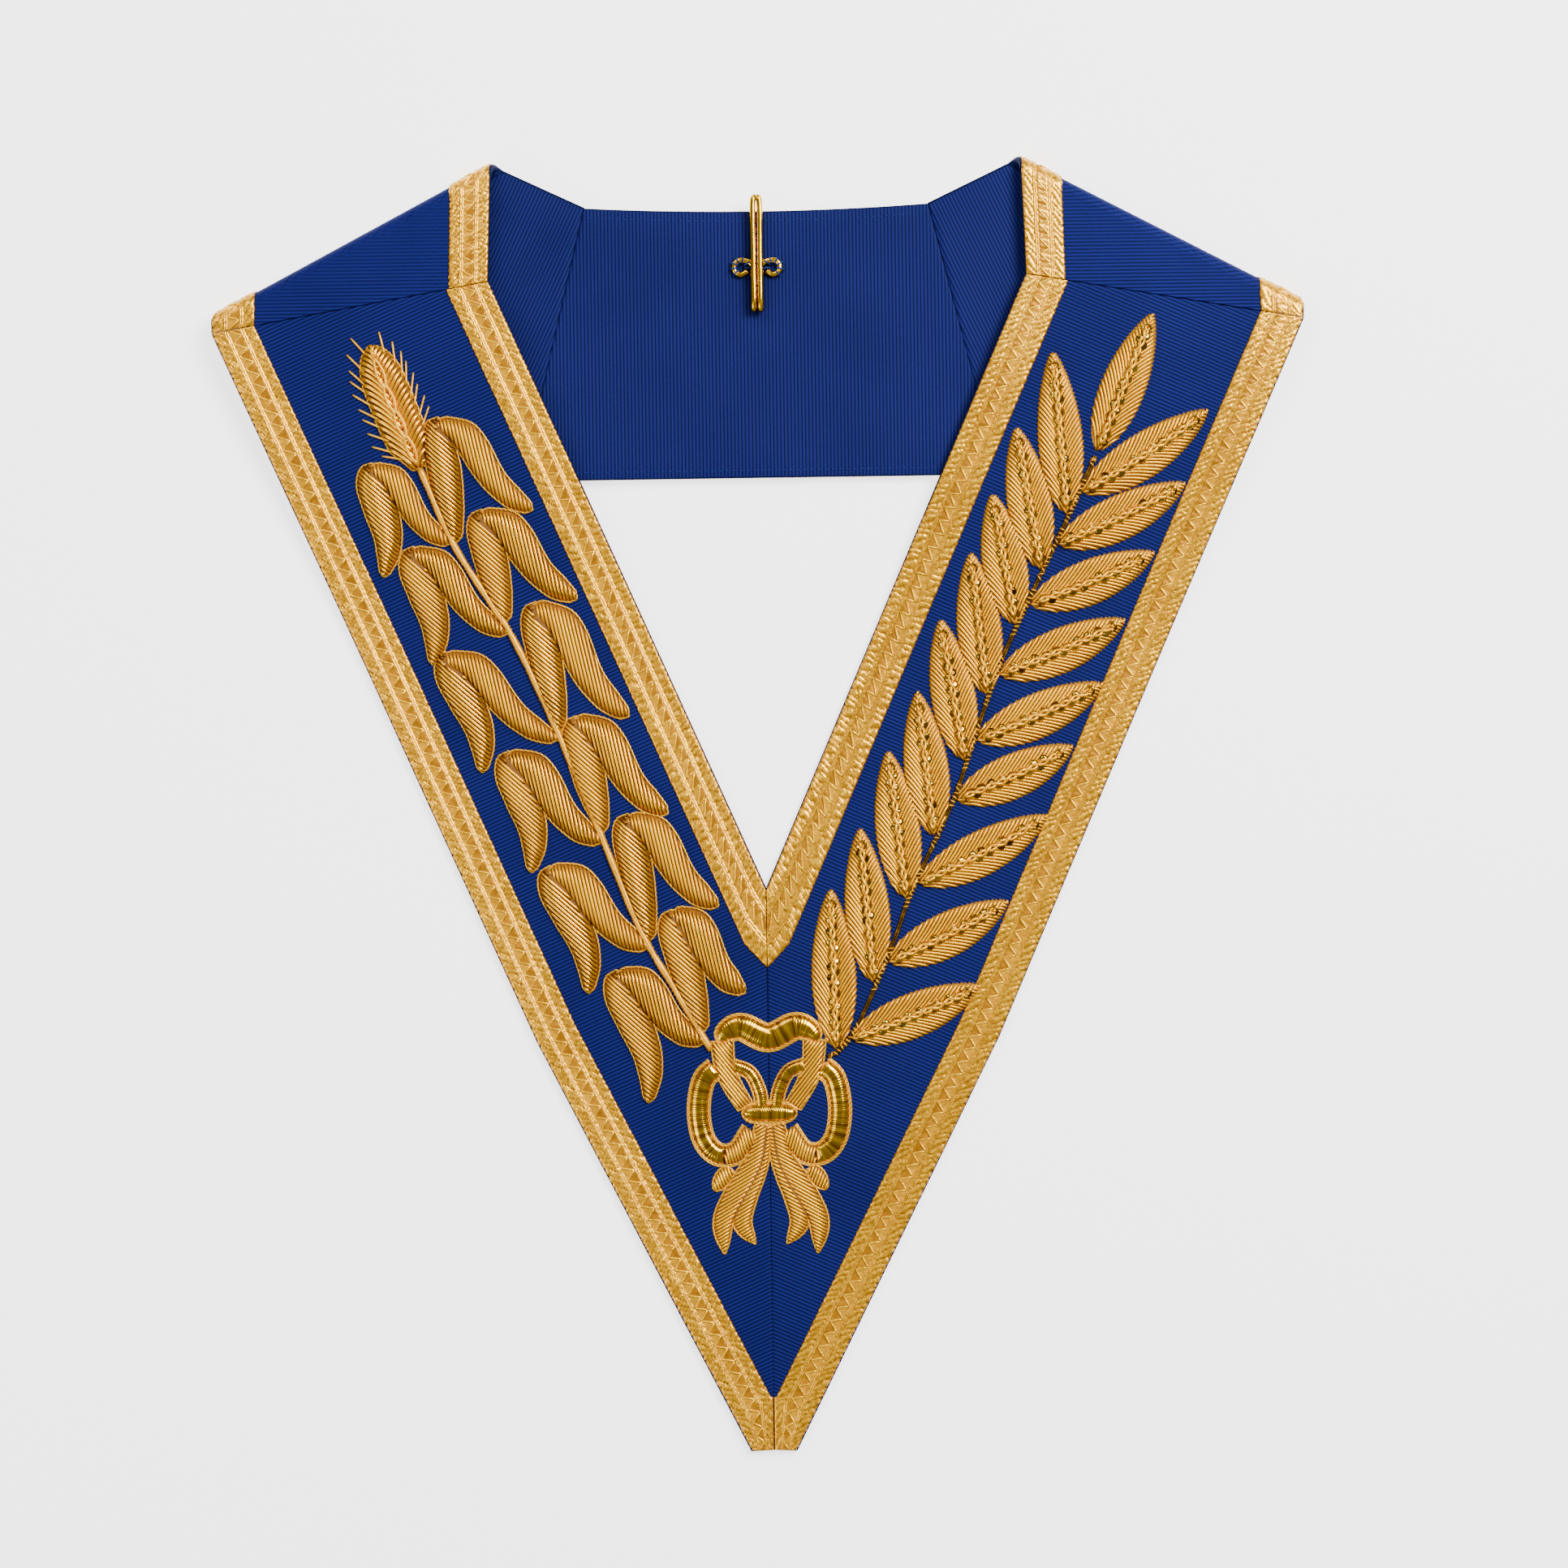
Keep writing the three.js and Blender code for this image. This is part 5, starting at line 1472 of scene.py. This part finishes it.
def make_hook():
    bottom = BACK_INNER[1] - NECK_SAG + HOOK_OVERHANG - HOOK_LENGTH
    low = BACK_LEVEL + HALF_CLOTH + SEAM_GAP + HOOK_WIRE / 2
    high = low + 2 * HOOK_BEND_RADIUS
    wire = HOOK_SPACING / 2
    top = bottom + HOOK_LENGTH - HOOK_WIRE
    eye = plan(wire + HOOK_WIRE + HOOK_EYE_RADIUS, bottom + HOOK_EYE_RISE)
    half = []
    for degrees in (-150, -90, -30, 30, 90):
        half.append((*(eye + HOOK_EYE_RADIUS * pointing(math.radians(degrees))), low))
    half += [
        (wire + HOOK_WIRE / 2, eye[1] + HOOK_EYE_RADIUS / 2, low),
        (wire, eye[1] - HOOK_EYE_RADIUS, low),
        (wire, bottom + HOOK_WIRE + HOOK_BEND_RADIUS, low),
        (wire, bottom + HOOK_WIRE / 2, (low + high) / 2),
        (wire, bottom + HOOK_WIRE + HOOK_BEND_RADIUS, high),
        (wire, (bottom + top) / 2, high),
        (wire, top - wire, high),
    ]
    peak = (0, top + HOOK_WIRE / 2 - wire / 2, high)
    path = spline(half + [peak] + [(-x, y, z) for x, y, z in reversed(half)], 260)
    shape = Shape()
    shape.loft(tube_rings(path, HOOK_WIRE * 0.56, 12), run=np.linspace(0, 60, 260).repeat(12))
    piece = shape.build("wire_hook", [BRASS], "hook_brass")
    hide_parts("back_hook")
    make_threads(eye, low)


STITCH_RADIUS = 0.3
SEAM_STITCH = 1.2
SEAM_STITCH_SPACING = 2.66
SEAM_STITCH_RADIUS = 0.16


def make_threads(eye, low):
    """Blue stitches that hold both eyes of the hook, and the fine seams of the back panel."""
    shape = Shape()
    share = np.linspace(-1, 1, 7)
    height = low - HOOK_WIRE / 2 + (HOOK_WIRE + 0.25) * np.sqrt(np.maximum(1 - share**4, 0))
    for side in (-1, 1):
        for number in range(7):
            angle = math.radians(-60 + number * 40 + RANDOM.random() * 14)
            direction = pointing(angle)
            points = eye + direction * HOOK_EYE_RADIUS + direction * share[:, None] * 1.5
            rings = tube_rings(on_surface(points, height), STITCH_RADIUS, 5)
            shape.loft(mirror(rings, side), crown=0.5 + 0.5 * RANDOM.random())
    face = BACK_LEVEL + HALF_CLOTH + RIB_RISE
    heights = (face - 0.1, face + 0.14, face - 0.1)
    lower = (BACK_OUTER[1] + 2.6, BACK_OUTER[0] - 2, 0.0)
    upper = (BACK_INNER[1] - 3.4, BACK_INNER[0] - 1, NECK_SAG)
    for seam, half, drop in (lower, upper):
        for x in np.arange(-half, half, SEAM_STITCH_SPACING):
            sag = drop * (1 - (x / half) ** 2)
            points = np.array([[x + step * SEAM_STITCH / 2, seam - sag] for step in range(3)])
            shape.tube(points, heights, SEAM_STITCH_RADIUS, 5, crown=0.9)
    shape.build("stitches", [THREAD], "lining_ribbon")


# Camera and light

PHOTO_CENTRE = plan(7.3, 250.1)
PHOTO_ROLL = math.radians(-0.85)
CAMERA_HEIGHT = 1.393
CAMERA_LENS = 85
CAMERA_SENSOR = 36
FLOOR_HALF = 12.0
FLOOR_DROP = 0.0006
# Name, place, size and power of the area lights, all turned to the middle of the collar
LIGHTS = [
    ("key", (0.85, 0.75, 1.35), 0.8, 60),
    ("fill", (-1.1, -0.5, 1.1), 1.0, 14),
    ("back", (-0.5, 1.2, 1.1), 0.8, 10),
]


def add_object(name, data):
    thing = bpy.data.objects.new(name, data)
    bpy.context.scene.collection.objects.link(thing)
    return thing


def make_camera():
    data = bpy.data.cameras.new("camera")
    data.lens = CAMERA_LENS
    data.sensor_width = CAMERA_SENSOR
    camera = add_object("camera", data)
    camera.location = (PHOTO_CENTRE[0] / 1000, (PHOTO_CENTRE[1] + TIP_Y) / 1000, CAMERA_HEIGHT)
    camera.rotation_euler = (0, 0, PHOTO_ROLL)
    bpy.context.scene.camera = camera


def area_light(name, place, size, power):
    data = bpy.data.lights.new(name, "AREA")
    data.shape = "SQUARE"
    data.size = size
    data.energy = power
    light = add_object(name, data)
    light.location = place
    light.rotation_euler = (-Vector(place)).to_track_quat("-Z", "Y").to_euler()


def make_stage():
    mesh = bpy.data.meshes.new("floor")
    corners = [(x * FLOOR_HALF, y * FLOOR_HALF, 0) for x, y in ((-1, -1), (1, -1), (1, 1), (-1, 1))]
    mesh.from_pydata(corners, [], [(0, 1, 2, 3)])
    look = Look("white_floor")
    set_sockets(look.shader, {
        "Base Color": (0.9, 0.9, 0.9, 1), "Emission Color": (1, 1, 1, 1), "Emission Strength": 2.2,
        "Roughness": 0.9,
    })
    mesh.materials.append(look.material)
    floor = add_object("floor", mesh)
    floor.location = (0, 0, -FLOOR_DROP)
    world = bpy.data.worlds.new("studio")
    world.use_nodes = True
    set_sockets(world.node_tree.nodes["Background"], {"Color": (0.95, 0.97, 1.0, 1), "Strength": 0.3})
    bpy.context.scene.world = world
    for light in LIGHTS:
        area_light(*light)


make_camera()
make_stage()
for HAND, SIDE in (("left", -1), ("right", 1)):
    make_front_band(SIDE, HAND)
    make_shoulder(SIDE, HAND)
    make_shoulder_lining(SIDE, HAND)
    make_front_laces(SIDE, HAND)
    make_shoulder_laces(SIDE, HAND)
make_back_panel()
make_back_laces()
for ARCH in ARCHES:
    make_arch(*ARCH)
for LEAF in LEAVES:
    make_leaf(*LEAF)
make_ear()
make_corn_stem()
make_acacia_stem()
make_bow()
make_hook()
